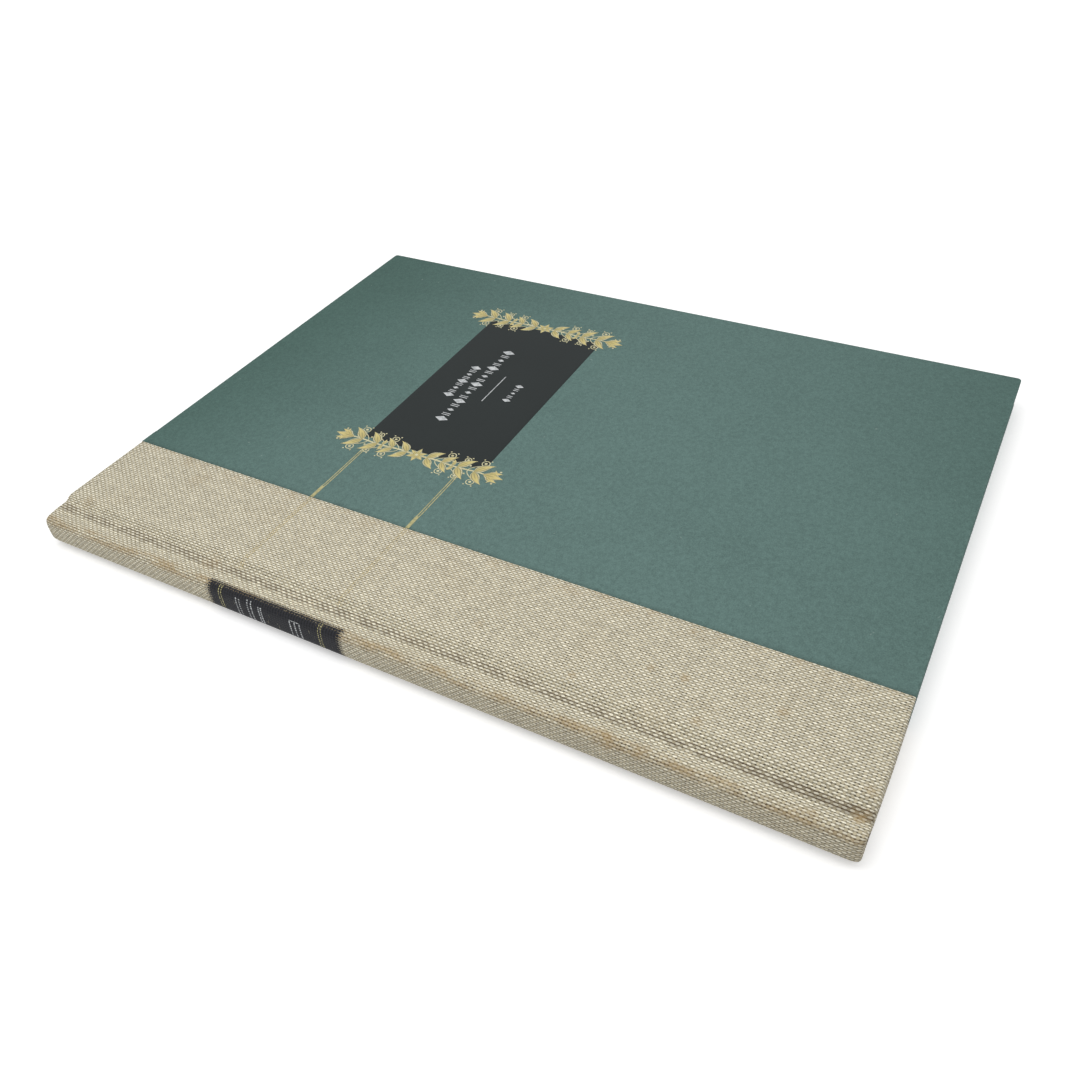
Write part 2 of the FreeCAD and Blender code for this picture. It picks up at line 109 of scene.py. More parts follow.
WARP = Thread(0.685, 1.06, 0.72, 11.5, 0.38)    # pale columns, which run along the book
WEFT = Thread(0.87, 0.62, 0.6, 2.4, 0.10)       # darker rows, which run across it


def smooth(value: np.ndarray | float) -> np.ndarray:
    """Smoothstep of a value held between 0 and 1: three squares less two cubes."""
    held = np.clip(value, 0.0, 1.0)
    return held * held * (3 - 2 * held)


def box_mm(node: str) -> tuple[np.ndarray, np.ndarray]:
    """Lowest and highest corner of a CAD node, in millimetres."""
    low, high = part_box(node)
    return np.array(low) / MM, np.array(high) / MM


@dataclass(frozen=True)
class BookFrame:
    """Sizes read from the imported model, in millimetres.

    Attributes:
        spine_line: row x of the spine's outermost line.
        width: across to the fore edge of the covers.
        half_height: half the covers' height.
        thickness: whole thickness of the closed book.
        shoulder: across of the line where the spine's cloth meets the joint.
        shoulder_depth: depth of that line.
        board_start: across of the board's near edge.
        cloth_edge: across where the green paper starts.
        cloth_end: across where the cloth ends under the paper.
        lined_depth: depth of the cover's inner face under the endpaper.
        cover_depth: depth of the endpaper's own face.
    """

    spine_line: float
    width: float
    half_height: float
    thickness: float
    shoulder: float
    shoulder_depth: float
    board_start: float
    cloth_edge: float
    cloth_end: float
    lined_depth: float
    cover_depth: float

    @classmethod
    def read(cls) -> BookFrame:
        """Read every size from the CAD nodes' boxes."""
        spine_low, spine_high = box_mm("spine_cloth")
        paper_low, paper_high = box_mm("front_siding_paper")
        cloth_high = box_mm("front_side_cloth")[1]
        fold_low, fold_high = box_mm("front_endpaper_fold")
        line = spine_low[0]
        top = paper_high[2]
        return cls(spine_line=line, width=paper_high[0] - line, half_height=paper_high[1],
                   thickness=top, shoulder=spine_high[0] - line,
                   shoulder_depth=top - spine_high[2], board_start=fold_high[0] - line,
                   cloth_edge=paper_low[0] - line, cloth_end=cloth_high[0] - line,
                   lined_depth=top - fold_high[2], cover_depth=top - fold_low[2])

    def place(self, across: np.ndarray, along: np.ndarray, depth: np.ndarray,
              side: Side = Side.FRONT) -> np.ndarray:
        """Turn working places into row positions in metres.

        Args:
            across: distances from the spine's outermost line.
            along: places towards the head.
            depth: depths below the face of that side's cover.
            side: the cover whose face the depths count from.

        Returns:
            Array of positions with one more axis of three.
        """
        across, along, depth = np.broadcast_arrays(across, along, depth)
        height = self.thickness - depth if side is Side.FRONT else depth
        return np.stack([across + self.spine_line, along, height], axis=-1) * MM


BOOK = BookFrame.read()


@dataclass
class Patch:
    """One grid surface.

    Attributes:
        points: positions in metres, rows by columns by three.
        places: the surface's own coordinates, rows by columns by two.
        turned: whether the faces are wound the other way, to point outwards.
    """

    points: np.ndarray
    places: np.ndarray
    turned: bool = False


def grid_faces(rows: int, columns: int, first: int, turned: bool) -> np.ndarray:
    """Quads of a grid, four vertex numbers a row.

    Args:
        rows: vertex rows of the grid.
        columns: vertex columns of the grid.
        first: number of the grid's first vertex.
        turned: whether the winding is the other way.

    Returns:
        Array of quads.
    """
    number = np.arange(rows * columns).reshape(rows, columns) + first
    quads = np.stack([number[:-1, :-1], number[1:, :-1], number[1:, 1:], number[:-1, 1:]], -1)
    quads = quads.reshape(-1, 4)
    return quads[:, ::-1] if turned else quads


def pairs(first: np.ndarray, second: np.ndarray) -> np.ndarray:
    """Two arrays spread over the grid that both make, with one more axis of two."""
    return np.stack(np.broadcast_arrays(first, second), -1)


def run_length(line: np.ndarray) -> np.ndarray:
    """Length of a line of points from its start to each point."""
    return np.concatenate([[0.0], np.cumsum(np.hypot(*np.diff(line, axis=0).T))])


def link_object(name: str, data: bpy.types.ID) -> bpy.types.Object:
    """New object of some data, in the scene's collection."""
    thing = bpy.data.objects.new(name, data)
    bpy.context.scene.collection.objects.link(thing)
    return thing


def make_object(name: str, patches: list[Patch], uv_name: str = CLOTH_UV,
                sharp: float = 40.0, merge: float = 0.0) -> bpy.types.Object:
    """Join grid surfaces in one mesh object.

    Args:
        name: the object's name.
        patches: the surfaces.
        uv_name: name of the UV map that holds the surfaces' own coordinates.
        sharp: angle in degrees above which an edge stays sharp.
        merge: distance in metres under which vertices are joined, or 0.

    Returns:
        The linked object, at the origin.
    """
    points, places, faces, first = [], [], [], 0
    for patch in patches:
        rows, columns = patch.points.shape[:2]
        points.append(patch.points.reshape(-1, 3))
        places.append(patch.places.reshape(-1, 2))
        faces.append(grid_faces(rows, columns, first, patch.turned))
        first += rows * columns
    corners = np.concatenate(points)
    quads = np.concatenate(faces)
    mesh = bpy.data.meshes.new(name)
    mesh.from_pydata(corners.tolist(), [], quads.tolist())
    layer = mesh.uv_layers.new(name=uv_name)
    layer.data.foreach_set("uv", np.concatenate(places)[quads.ravel()].astype(np.float32).ravel())
    thing = link_object(name, mesh)
    if merge:
        weld = thing.modifiers.new("weld", "WELD")
        weld.merge_threshold = merge
        settle(thing)
    thing.data.shade_smooth()
    thing.data.set_sharp_from_angle(angle=math.radians(sharp))
    return thing


def settle(thing: bpy.types.Object) -> None:
    """Put the result of an object's modifiers into its mesh."""
    bpy.context.view_layer.update()
    graph = bpy.context.evaluated_depsgraph_get()
    final = bpy.data.meshes.new_from_object(thing.evaluated_get(graph))
    thing.modifiers.clear()
    thing.data = final


def thicken(thing: bpy.types.Object, thickness: float, sharp: float = 40.0) -> None:
    """Give a surface its wall, inwards from its face.

    Args:
        thing: the object.
        thickness: wall in millimetres.
        sharp: angle in degrees above which an edge stays sharp.
    """
    wall = thing.modifiers.new("wall", "SOLIDIFY")
    wall.thickness = thickness * MM
    wall.offset = -1.0
    settle(thing)
    thing.data.shade_smooth()
    thing.data.set_sharp_from_angle(angle=math.radians(sharp))


def dress(thing: bpy.types.Object, material: bpy.types.Material) -> None:
    """Give an object one material."""
    thing.data.materials.clear()
    thing.data.materials.append(material)


def settle_piece(thing: bpy.types.Object, material: bpy.types.Material, node: str,
                 body: str) -> bpy.types.Object:
    """Dress a piece of blocking, let it stand for its node and ride on its body.

    Args:
        thing: the piece.
        material: its material.
        node: the CAD node that it stands for.
        body: the body that carries it.

    Returns:
        The finished piece.
    """
    dress(thing, material)
    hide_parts(node)
    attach(thing, body)
    report(thing)
    return thing


def report(thing: bpy.types.Object) -> None:
    """Log a finished piece and its number of faces."""
    LOG.info("%s: %d faces", thing.name, len(thing.data.polygons))


class Graph:
    """Adds and links shader nodes in one node tree."""

    def __init__(self, tree: bpy.types.NodeTree) -> None:
        """Keep the tree."""
        self.tree = tree

    def add(self, kind: str, **settings: object) -> bpy.types.Node:
        """Add a node and set its properties.

        Args:
            kind: type name of the node.
            settings: properties to set on it.

        Returns:
            The node.
        """
        node = self.tree.nodes.new(kind)
        for name, value in settings.items():
            setattr(node, name, value)
        return node

    def feed(self, socket: bpy.types.NodeSocket, value: object) -> None:
        """Link an output to a socket, or set the socket's constant."""
        if isinstance(value, bpy.types.NodeSocket):
            self.tree.links.new(value, socket)
        else:
            socket.default_value = value

    def math(self, operation: str, *values: object) -> bpy.types.NodeSocket:
        """Result of one Math node."""
        node = self.add("ShaderNodeMath", operation=operation)
        for socket, value in zip(node.inputs, values):
            self.feed(socket, value)
        return node.outputs[0]

    def times(self, first: object, second: object) -> bpy.types.NodeSocket:
        """Product of two numbers."""
        return self.math("MULTIPLY", first, second)

    def plus(self, first: object, second: object) -> bpy.types.NodeSocket:
        """Sum of two numbers."""
        return self.math("ADD", first, second)

    def minus(self, first: object, second: object) -> bpy.types.NodeSocket:
        """First number less the second."""
        return self.math("SUBTRACT", first, second)

    def times_plus(self, first: object, second: object, third: object) -> bpy.types.NodeSocket:
        """Product of two numbers and a third added to it."""
        return self.math("MULTIPLY_ADD", first, second, third)

    def vector(self, operation: str, *values: object) -> bpy.types.NodeSocket:
        """Result of one Vector Math node."""
        node = self.add("ShaderNodeVectorMath", operation=operation)
        for socket, value in zip(node.inputs, values):
            self.feed(socket, value)
        return node.outputs["Value" if operation in ("DISTANCE", "LENGTH") else "Vector"]

    def noise(self, place: object, scale: float, detail: float = 2.0) -> bpy.types.NodeSocket:
        """Value of a noise texture at a place, about 0.5 on average."""
        node = self.add("ShaderNodeTexNoise")
        self.feed(node.inputs["Vector"], place)
        node.inputs["Scale"].default_value = scale
        node.inputs["Detail"].default_value = detail
        return node.outputs[0]

    def swing(self, place: object, scale: float, detail: float = 2.0) -> bpy.types.NodeSocket:
        """Value of a noise texture at a place, about zero on average."""
        return self.minus(self.noise(place, scale, detail), 0.5)

    def random(self, value: object) -> bpy.types.NodeSocket:
        """Random number from 0 to 1 for each value."""
        node = self.add("ShaderNodeTexWhiteNoise", noise_dimensions="1D")
        self.feed(node.inputs["W"], value)
        return node.outputs["Value"]

    def ramp(self, value: object, start: float, end: float) -> bpy.types.NodeSocket:
        """Smooth rise of a value from 0 at start to 1 at end, or a fall if start is above end."""
        node = self.add("ShaderNodeMapRange", interpolation_type="SMOOTHSTEP")
        low, high = min(start, end), max(start, end)
        to_low, to_high = (0.0, 1.0) if start < end else (1.0, 0.0)
        for socket, number in zip(node.inputs, (value, low, high, to_low, to_high)):
            self.feed(socket, number)
        return node.outputs["Result"]

    def blend(self, share: object, first: object, second: object) -> bpy.types.NodeSocket:
        """Colour that goes from the first to the second by a share from 0 to 1."""
        node = self.add("ShaderNodeMix", data_type="RGBA")
        self.feed(node.inputs[0], share)
        for socket, value in ((node.inputs[6], first), (node.inputs[7], second)):
            self.feed(socket, (*value, 1.0) if isinstance(value, tuple) else value)
        return node.outputs[2]

    def shade(self, colour: object, factor: object) -> bpy.types.NodeSocket:
        """Colour times a number."""
        node = self.add("ShaderNodeVectorMath", operation="SCALE")
        self.feed(node.inputs[0], colour[:3] if isinstance(colour, tuple) else colour)
        self.feed(node.inputs["Scale"], factor)
        return node.outputs[0]

    def parts(self, place: object) -> tuple[bpy.types.NodeSocket, ...]:
        """The three numbers of a vector."""
        node = self.add("ShaderNodeSeparateXYZ")
        self.feed(node.inputs[0], place)
        return tuple(node.outputs)

    def together(self, *values: object) -> bpy.types.NodeSocket:
        """A vector of up to three numbers."""
        node = self.add("ShaderNodeCombineXYZ")
        for socket, value in zip(node.inputs, values):
            self.feed(socket, value)
        return node.outputs[0]

    def line(self, value: object, middle: float, half: float, soft: float) -> bpy.types.NodeSocket:
        """Mask of 1 within half of a middle value, that fades over a soft distance."""
        away = self.math("ABSOLUTE", self.minus(value, middle))
        return self.ramp(away, half + soft, half)

    def object_mm(self) -> bpy.types.NodeSocket:
        """Object coordinates in millimetres."""
        node = self.add("ShaderNodeTexCoord")
        return self.shade(node.outputs["Object"], 1 / MM)

    def own_uv(self, name: str) -> bpy.types.NodeSocket:
        """The piece's own UV map."""
        return self.add("ShaderNodeUVMap", uv_map=name).outputs[0]

    def use(self, group: bpy.types.NodeTree, **values: object) -> bpy.types.Node:
        """Place a node group and feed its inputs by name."""
        node = self.add("ShaderNodeGroup", node_tree=group)
        for name, value in values.items():
            self.feed(node.inputs[name.replace("_", " ").capitalize()], value)
        return node


def new_group(name: str, inputs: dict[str, tuple[str, object]],
              outputs: dict[str, str]) -> tuple[bpy.types.NodeTree, Graph, dict, dict]:
    """Start a shader node group.

    Args:
        name: name of the group.
        inputs: socket kind and default by input name.
        outputs: socket kind by output name.

    Returns:
        The group, its graph, its input sockets by name, and its output sockets by name.
    """
    group = bpy.data.node_groups.new(name, "ShaderNodeTree")
    for label, (kind, default) in inputs.items():
        socket = group.interface.new_socket(name=label, in_out="INPUT", socket_type=kind)
        if default is not None:
            socket.default_value = default
    for label, kind in outputs.items():
        group.interface.new_socket(name=label, in_out="OUTPUT", socket_type=kind)
    graph = Graph(group)
    entry = graph.add("NodeGroupInput")
    leave = graph.add("NodeGroupOutput")
    return (group, graph, {s.name: s for s in entry.outputs if s.name},
            {s.name: s for s in leave.inputs if s.name})


def weave_group() -> bpy.types.NodeTree:
    """Plain weave over and under.

    A place is divided by the two pitches, and its whole part counts threads. A thread's height
    is a rounded section plus a cosine wave along it, which is up where the sum of both counts is
    even and down where it is odd. The threads along the book are narrow and stand high, and the
    higher of the two threads shows. Where both are low there is a gap, and between is a mask of
    the valleys between two columns. Every thread has its own tone, with slow slubs along it,
    every crossing has its own too, and the gaps are dark in differing degree.
    """
    group, graph, given, out = new_group(
        "plain_weave", {"Place": ("NodeSocketVector", None),
                        "Wander": ("NodeSocketFloat", 0.25)},
        {"Height": "NodeSocketFloat", "Warp": "NodeSocketFloat", "Tone": "NodeSocketFloat",
         "Gap": "NodeSocketFloat", "Between": "NodeSocketFloat"})
    x, y, _ = graph.parts(given["Place"])
    drift_x = graph.swing(given["Place"], 0.11)
    drift_y = graph.swing(graph.together(y, x, 7.0), 0.13)
    shake_x = graph.swing(given["Place"], 0.8)
    shake_y = graph.swing(graph.together(y, x, 2.0), 0.9)
    drift_x = graph.times(graph.plus(drift_x, shake_x), given["Wander"])
    drift_y = graph.times(graph.times_plus(shake_y, 1.6, drift_y), given["Wander"])
    a = graph.math("DIVIDE", graph.plus(x, drift_x), WARP.pitch)
    b = graph.math("DIVIDE", graph.plus(y, drift_y), WEFT.pitch)
    count_a, count_b = graph.math("FLOOR", a), graph.math("FLOOR", b)
    in_a = graph.minus(graph.math("FRACT", a), 0.5)
    in_b = graph.minus(graph.math("FRACT", b), 0.5)
    odd = graph.math("FLOORED_MODULO", graph.plus(count_a, count_b), 2.0)
    over = graph.times_plus(odd, -2.0, 1.0)
    wave_a, wave_b = (graph.times(graph.math("COSINE", graph.times(place, math.pi)), over)
                      for place in (in_a, in_b))
    round_a = graph.times(graph.times(in_a, in_a), -WARP.rounding)
    round_b = graph.times(graph.times(in_b, in_b), -WEFT.rounding)
    warp = graph.plus(graph.plus(round_a, WARP.stand), graph.times(wave_b, WARP.swing))
    weft = graph.minus(graph.plus(round_b, WEFT.stand), graph.times(wave_a, WEFT.swing))
    height = graph.math("MAXIMUM", warp, weft)
    is_warp = graph.ramp(graph.minus(warp, weft), -0.12, 0.12)
    tone_a = graph.random(count_a)
    tone_b = graph.random(graph.plus(count_b, 731.5))
    slub_a = graph.noise(graph.together(count_a, graph.times(y, 0.09), 3.0), 1.7, 1.0)
    slub_b = graph.noise(graph.together(graph.times(x, 0.09), count_b, 9.0), 1.7, 1.0)
    tone_a = graph.plus(graph.times(tone_a, 0.22), graph.times(slub_a, WARP.slub))
    tone_b = graph.plus(graph.times_plus(tone_b, 0.12, 0.19), graph.times(slub_b, WEFT.slub))
    cell = graph.random(graph.times_plus(count_a, 57.31, count_b))
    corner_a = graph.math("FLOOR", graph.plus(a, 0.5))
    corner_b = graph.math("FLOOR", graph.plus(b, 0.5))
    corner = graph.random(graph.times_plus(corner_a, 41.73, corner_b))
    corner = graph.times_plus(graph.times(corner, corner), 1.2, 0.45)
    tone = graph.plus(graph.times(tone_a, is_warp), graph.times(tone_b, graph.minus(1.0, is_warp)))
    tone = graph.times_plus(cell, 0.40, tone)
    between = graph.ramp(graph.math("ABSOLUTE", in_a), 0.28, 0.48)
    graph.feed(out["Height"], graph.times(height, 0.55))
    graph.feed(out["Warp"], is_warp)
    graph.feed(out["Tone"], tone)
    graph.feed(out["Gap"], graph.times(graph.ramp(height, 0.85, 0.1), corner))
    graph.feed(out["Between"], between)
    return group


def mottle_group() -> bpy.types.NodeTree:
    """Fine and slow variation of a paper: two noises of different grain and a slow cloud.

    Tone is about 1 and gets multiplied into a colour. Height is for a bump.
    """
    group, graph, given, out = new_group(
        "paper_mottle", {"Place": ("NodeSocketVector", None), "Grain": ("NodeSocketFloat", 0.1),
                         "Cloud": ("NodeSocketFloat", 0.05)},
        {"Tone": "NodeSocketFloat", "Height": "NodeSocketFloat"})
    fine = graph.swing(given["Place"], 2.6, 3.0)
    fibre = graph.swing(given["Place"], 0.9, 4.0)
    cloud = graph.swing(given["Place"], 0.035, 3.0)
    both = graph.plus(fine, graph.times(fibre, 0.8))
    tone = graph.plus(1.0, graph.times(both, given["Grain"]))
    tone = graph.plus(tone, graph.times(cloud, given["Cloud"]))
    graph.feed(out["Tone"], tone)
    graph.feed(out["Height"], both)
    return group


WEAVE = weave_group()
MOTTLE = mottle_group()


class Finish:
    """Base of the finishes: a material with one Principled shader."""

    def start(self, name: str, roughness: float, specular: float = 0.5
              ) -> tuple[bpy.types.Material, Graph, bpy.types.Node]:
        """Make the material and its shader.

        Args:
            name: name of the material.
            roughness: the shader's constant roughness.
            specular: the shader's constant specular level.

        Returns:
            The material, its graph and its Principled shader.
        """
        material = bpy.data.materials.new(name)
        material.use_nodes = True
        graph = Graph(material.node_tree)
        shader = material.node_tree.nodes["Principled BSDF"]
        shader.inputs["Roughness"].default_value = roughness
        shader.inputs["Specular IOR Level"].default_value = specular
        return material, graph, shader

    def bump(self, graph: Graph, shader: bpy.types.Node, height: object, distance: float,
             strength: float = 1.0) -> None:
        """Feed the shader's normal from a height.

        Args:
            graph: the material's graph.
            shader: its Principled shader.
            height: the height socket.
            distance: what a height of 1 stands for, in millimetres.
            strength: how much of it shows.
        """
        node = graph.add("ShaderNodeBump")
        node.inputs["Strength"].default_value = strength
        node.inputs["Distance"].default_value = distance * MM
        graph.feed(node.inputs["Height"], height)
        graph.feed(shader.inputs["Normal"], node.outputs[0])


@dataclass(frozen=True)
class BookCloth(Finish):
    """Natural plain-woven cloth, soiled at the creases and corners, with painted shade in the
    creases and in the weave's low places and holes.

    Attributes:
        name: name of the material.
        warp: colour of the pale threads along the book.
        weft: colour of the threads across it, darker partly as painted shade on the rows that lie
            lower than the columns.
        gap: painted shade in the holes between threads.
        soil_and_shade: colour of rubbed dirt, and of painted shade in the creases.
        stain: colour of the yellow-brown stains.
        gold: colour of the faint foil on the cloth.
        crease: cloth millimetres from the shoulder where the dirt and painted shade in the valleys
            start and end.
        marks: stains as (across, along, radius, strength).
        rules: middles along the book of the gold rules' faint ends.
    """

    name: str = "book_cloth"
    warp: tuple[float, float, float] = (0.95, 0.90, 0.73)
    weft: tuple[float, float, float] = (0.58, 0.52, 0.37)
    gap: tuple[float, float, float] = (0.075, 0.060, 0.034)
    soil_and_shade: tuple[float, float, float] = (0.095, 0.066, 0.036)
    stain: tuple[float, float, float] = (0.40, 0.26, 0.10)
    gold: tuple[float, float, float] = (0.60, 0.47, 0.18)
    crease: tuple[float, float] = (3.0, 5.0)
    marks: tuple[tuple[float, float, float, float], ...] = (
        (3.2, -117.0, 3.6, 0.5), (9.0, -117.5, 3.0, 0.3), (-1.0, -108.0, 4.0, 0.36),
        (-2.0, -62.0, 5.0, 0.46), (-1.6, -71.0, 4.0, 0.4), (20.6, -71.8, 2.6, 0.38),
        (10.0, -78.8, 2.8, 0.38), (20.9, -95.2, 3.0, 0.38), (20.0, -63.7, 2.2, 0.3),
        (10.0, -48.2, 2.2, 0.36), (34.8, -68.0, 2.4, 0.36), (15.0, -20.0, 3.5, 0.2),
        (30.0, 88.0, 7.0, 0.16), (4.0, 60.0, 6.0, 0.18), (8.0, 112.0, 5.0, 0.22))
    rules: tuple[float, ...] = (51.2, 17.6)

    def build(self) -> bpy.types.Material:
        """Make the material.

        Returns:
            The cloth's material, which reads the cloth's own UV map in millimetres.
        """
        material, graph, shader = self.start(self.name, 0.92, 0.2)
        shader.inputs["Sheen Weight"].default_value = 0.12
        place = graph.own_uv(CLOTH_UV)
        weave = graph.use(WEAVE, place=place)
        across, along, _ = graph.parts(place)
        tone = graph.times_plus(weave.outputs["Tone"], 0.66, 0.70)
        # The weft colour is partly painted shade on the lower rows.
        colour = graph.blend(weave.outputs["Warp"], self.weft, self.warp)
        # Painted shade: the weave's colour is darker where its height is low.
        weave_painted_shade = graph.times_plus(graph.ramp(weave.outputs["Height"], 0.05, 0.62), 0.40, 0.60)
        colour = graph.shade(graph.shade(colour, tone), weave_painted_shade)
        # Painted shade in the holes of the weave, in the gap colour.
        gap = weave.outputs["Gap"]
        colour = graph.blend(graph.times(gap, 0.72), colour, self.gap)
        warm = graph.ramp(graph.noise(place, 0.055, 2.0), 0.52, 0.72)
        colour = graph.blend(graph.times(warm, 0.06), colour, self.stain)
        glue = graph.times(graph.ramp(across, 31.0, 37.0),
                           graph.ramp(graph.noise(place, 0.22, 3.0), 0.46, 0.66))
        colour = graph.blend(graph.times(glue, 0.2), colour, self.stain)
        colour = self.creased(graph, colour, across, along, weave)
        colour = self.stained(graph, colour, place)
        colour = self.soiled(graph, colour, across, along, gap)
        colour, foil = self.ruled(graph, colour, across, along, weave.outputs["Height"], place)
        graph.feed(shader.inputs["Base Color"], colour)
        graph.feed(shader.inputs["Metallic"], graph.times(foil, 0.5))
        fuzz = graph.times(graph.noise(place, 3.2, 2.0), 0.25)
        self.bump(graph, shader, graph.plus(weave.outputs["Height"], fuzz), 0.16, 0.9)
        return material

    def creased(self, graph: Graph, colour: object, across: object, along: object,
                weave: bpy.types.Node) -> bpy.types.NodeSocket:
        """Dirt and painted shade in the valleys between the columns that lie on the groove's
        floor.
        """
        start, end = self.crease
        zone = graph.times(graph.ramp(across, start - 0.25, start),
                           graph.ramp(across, end + 0.25, end))
        tail = graph.ramp(along, -80.0, -119.0)
        patchy = graph.ramp(graph.noise(graph.together(
            graph.times(along, 0.22), graph.times(across, 0.9), 0.0), 1.0, 3.0), 0.34, 0.60)
        low = graph.minus(1.0, graph.times(weave.outputs["Warp"], 0.95))
        strength = graph.times_plus(tail, 0.25, graph.times_plus(patchy, 0.5, 0.36))
        valley = graph.times_plus(weave.outputs["Between"], 0.72, 0.28)
        # Dirt and painted shade on the low threads in the groove's valleys, stronger to the tail.
        share = graph.times(graph.times(valley, low), graph.times(strength, zone))
        colour = graph.blend(share, colour, self.soil_and_shade)
        # A broad darkening over the whole crease zone, dirt and painted shade.
        rub = graph.times(zone, graph.times_plus(tail, 0.26, graph.times(patchy, 0.24)))
        colour = graph.blend(rub, colour, self.soil_and_shade)
        edge = graph.line(across, -1.7, 0.4, 1.8)
        patches = graph.ramp(graph.noise(graph.together(
            graph.times(along, 0.12), graph.times(across, 0.5), 5.0), 1.0, 3.0), 0.38, 0.62)
        share = graph.times(edge, graph.times_plus(patches, 0.44, 0.05))
        colour = graph.blend(share, colour, self.stain)
        low = graph.times(weave.outputs["Gap"], graph.times(edge, 0.5))
        return graph.blend(low, colour, self.soil_and_shade)

    def stained(self, graph: Graph, colour: object, place: object) -> bpy.types.NodeSocket:
        """Soft stains with ragged edges at the marks."""
        ragged = graph.times_plus(graph.noise(place, 0.45, 4.0), 1.6, -0.3)
        for across, along, radius, strength in self.marks:
            away = graph.vector("DISTANCE", place, (across, along, 0.0))
            near = graph.times(graph.ramp(away, radius, 0.0), ragged)
            near = graph.times(graph.ramp(near, 0.05, 0.65), strength)
            colour = graph.blend(near, colour, self.stain)
        return colour

    def soiled(self, graph: Graph, colour: object, across: object, along: object,
               gap: object) -> bpy.types.NodeSocket:
        """Greyer cloth on the spine's face, more so to the tail, and at the end edges."""
        spine = graph.ramp(across, -0.5, -3.0)
        tail = graph.times_plus(graph.ramp(along, 60.0, -60.0), 0.11, 0.02)
        share = graph.times(spine, graph.times_plus(gap, 0.2, tail))
        colour = graph.blend(share, colour, self.soil_and_shade)
        ends = graph.ramp(graph.math("ABSOLUTE", along), BOOK.half_height - 2.5,
                          BOOK.half_height + 0.5)
        return graph.blend(graph.times(ends, 0.16), colour, self.soil_and_shade)

    def ruled(self, graph: Graph, colour: object, across: object, along: object,
              height: object, place: object) -> tuple[bpy.types.NodeSocket, bpy.types.NodeSocket]:
        """Foil of the rules that only caught the cloth's high threads.

        Returns:
            The colour and the mask of foil.
        """
        mask: object = 0.0
        for middle in self.rules:
            for offset in (-0.4, 0.4):
                mask = graph.plus(mask, graph.line(along, middle + offset, 0.14, 0.12))
        reach = graph.ramp(across, 4.8, 6.0)
        high = graph.ramp(height, 0.30, 0.70)
        broken = graph.ramp(graph.noise(place, 0.5, 2.0), 0.36, 0.60)
        mask = graph.times(mask, graph.times(reach, high))
        mask = graph.times(mask, graph.times_plus(broken, 0.6, 0.22))
        mask = graph.math("MINIMUM", mask, 1.0)
        return graph.blend(mask, colour, self.gold), mask


@dataclass(frozen=True)
class SidingPaper(Finish):
    """Matt green paper with a fine grain, a little duller at the rubbed edges, and with painted
    shade.

    Attributes:
        green: main colour.
        painted_shade_green: painted shade that the green turns to towards the head's far corner.
        pale: colour of lint specks and of rubbed edges.
        grain: how much the fine grain varies the colour.
    """

    green: tuple[float, float, float] = (0.1265, 0.207, 0.190)
    painted_shade_green: tuple[float, float, float] = (0.0785, 0.143, 0.1245)
    pale: tuple[float, float, float] = (0.32, 0.40, 0.37)
    grain: float = 0.7

    def build(self) -> bpy.types.Material:
        """Make the material.

        Returns:
            The paper's material, which reads object coordinates.
        """
        material, graph, shader = self.start("green_paper", 0.75, 0.12)
        place = graph.object_mm()
        mottle = graph.use(MOTTLE, place=place, grain=self.grain, cloud=0.16)
        x, y, _ = graph.parts(place)
        # Painted shade: a smooth ramp of across plus a rise along turns the green darker towards
        # the far head corner.
        rise = graph.times(y, graph.times_plus(y, 0.02, 0.85))
        far = graph.ramp(graph.plus(x, rise), -45.0, 480.0)
        colour = graph.blend(far, self.green, self.painted_shade_green)
        start = BOOK.spine_line + BOOK.cloth_edge
        # Painted shadow: the paper is up to a fifth darker over the 1.6 mm beside the cloth's
        # edge.
        tone = graph.times_plus(graph.ramp(x, start + 1.6, start), -0.2, mottle.outputs["Tone"])
        colour = graph.shade(colour, tone)
        speck = graph.ramp(graph.noise(place, 0.55, 1.0), 0.795, 0.83)
        colour = graph.blend(graph.times(speck, 0.35), colour, self.pale)
        fore = graph.ramp(x, BOOK.spine_line + BOOK.width - 0.8, BOOK.spine_line + BOOK.width)
        ends = graph.ramp(graph.math("ABSOLUTE", y), BOOK.half_height - 0.8, BOOK.half_height)
        rub = graph.times(graph.math("MAXIMUM", fore, ends),
                          graph.ramp(graph.noise(place, 0.9, 3.0), 0.45, 0.7))
        colour = graph.blend(graph.times(rub, 0.12), colour, self.pale)
        graph.feed(shader.inputs["Base Color"], colour)
        self.bump(graph, shader, mottle.outputs["Height"], 0.05, 0.8)
        return material


@dataclass(frozen=True)
class PanelPrint(Finish):
    """Near-black satin print on the title panel."""

    black: tuple[float, float, float] = (0.0205, 0.0255, 0.0255)

    def build(self) -> bpy.types.Material:
        """Make the material.

        Returns:
            The print's material.
        """
        material, graph, shader = self.start("panel_print", 0.6, 0.14)
        place = graph.object_mm()
        mottle = graph.use(MOTTLE, place=place, grain=0.35, cloud=0.2)
        graph.feed(shader.inputs["Base Color"], graph.shade(self.black, mottle.outputs["Tone"]))
        rough = graph.times_plus(mottle.outputs["Height"], 0.1, 0.6)
        graph.feed(shader.inputs["Roughness"], rough)
        self.bump(graph, shader, mottle.outputs["Height"], 0.02, 0.6)
        return material


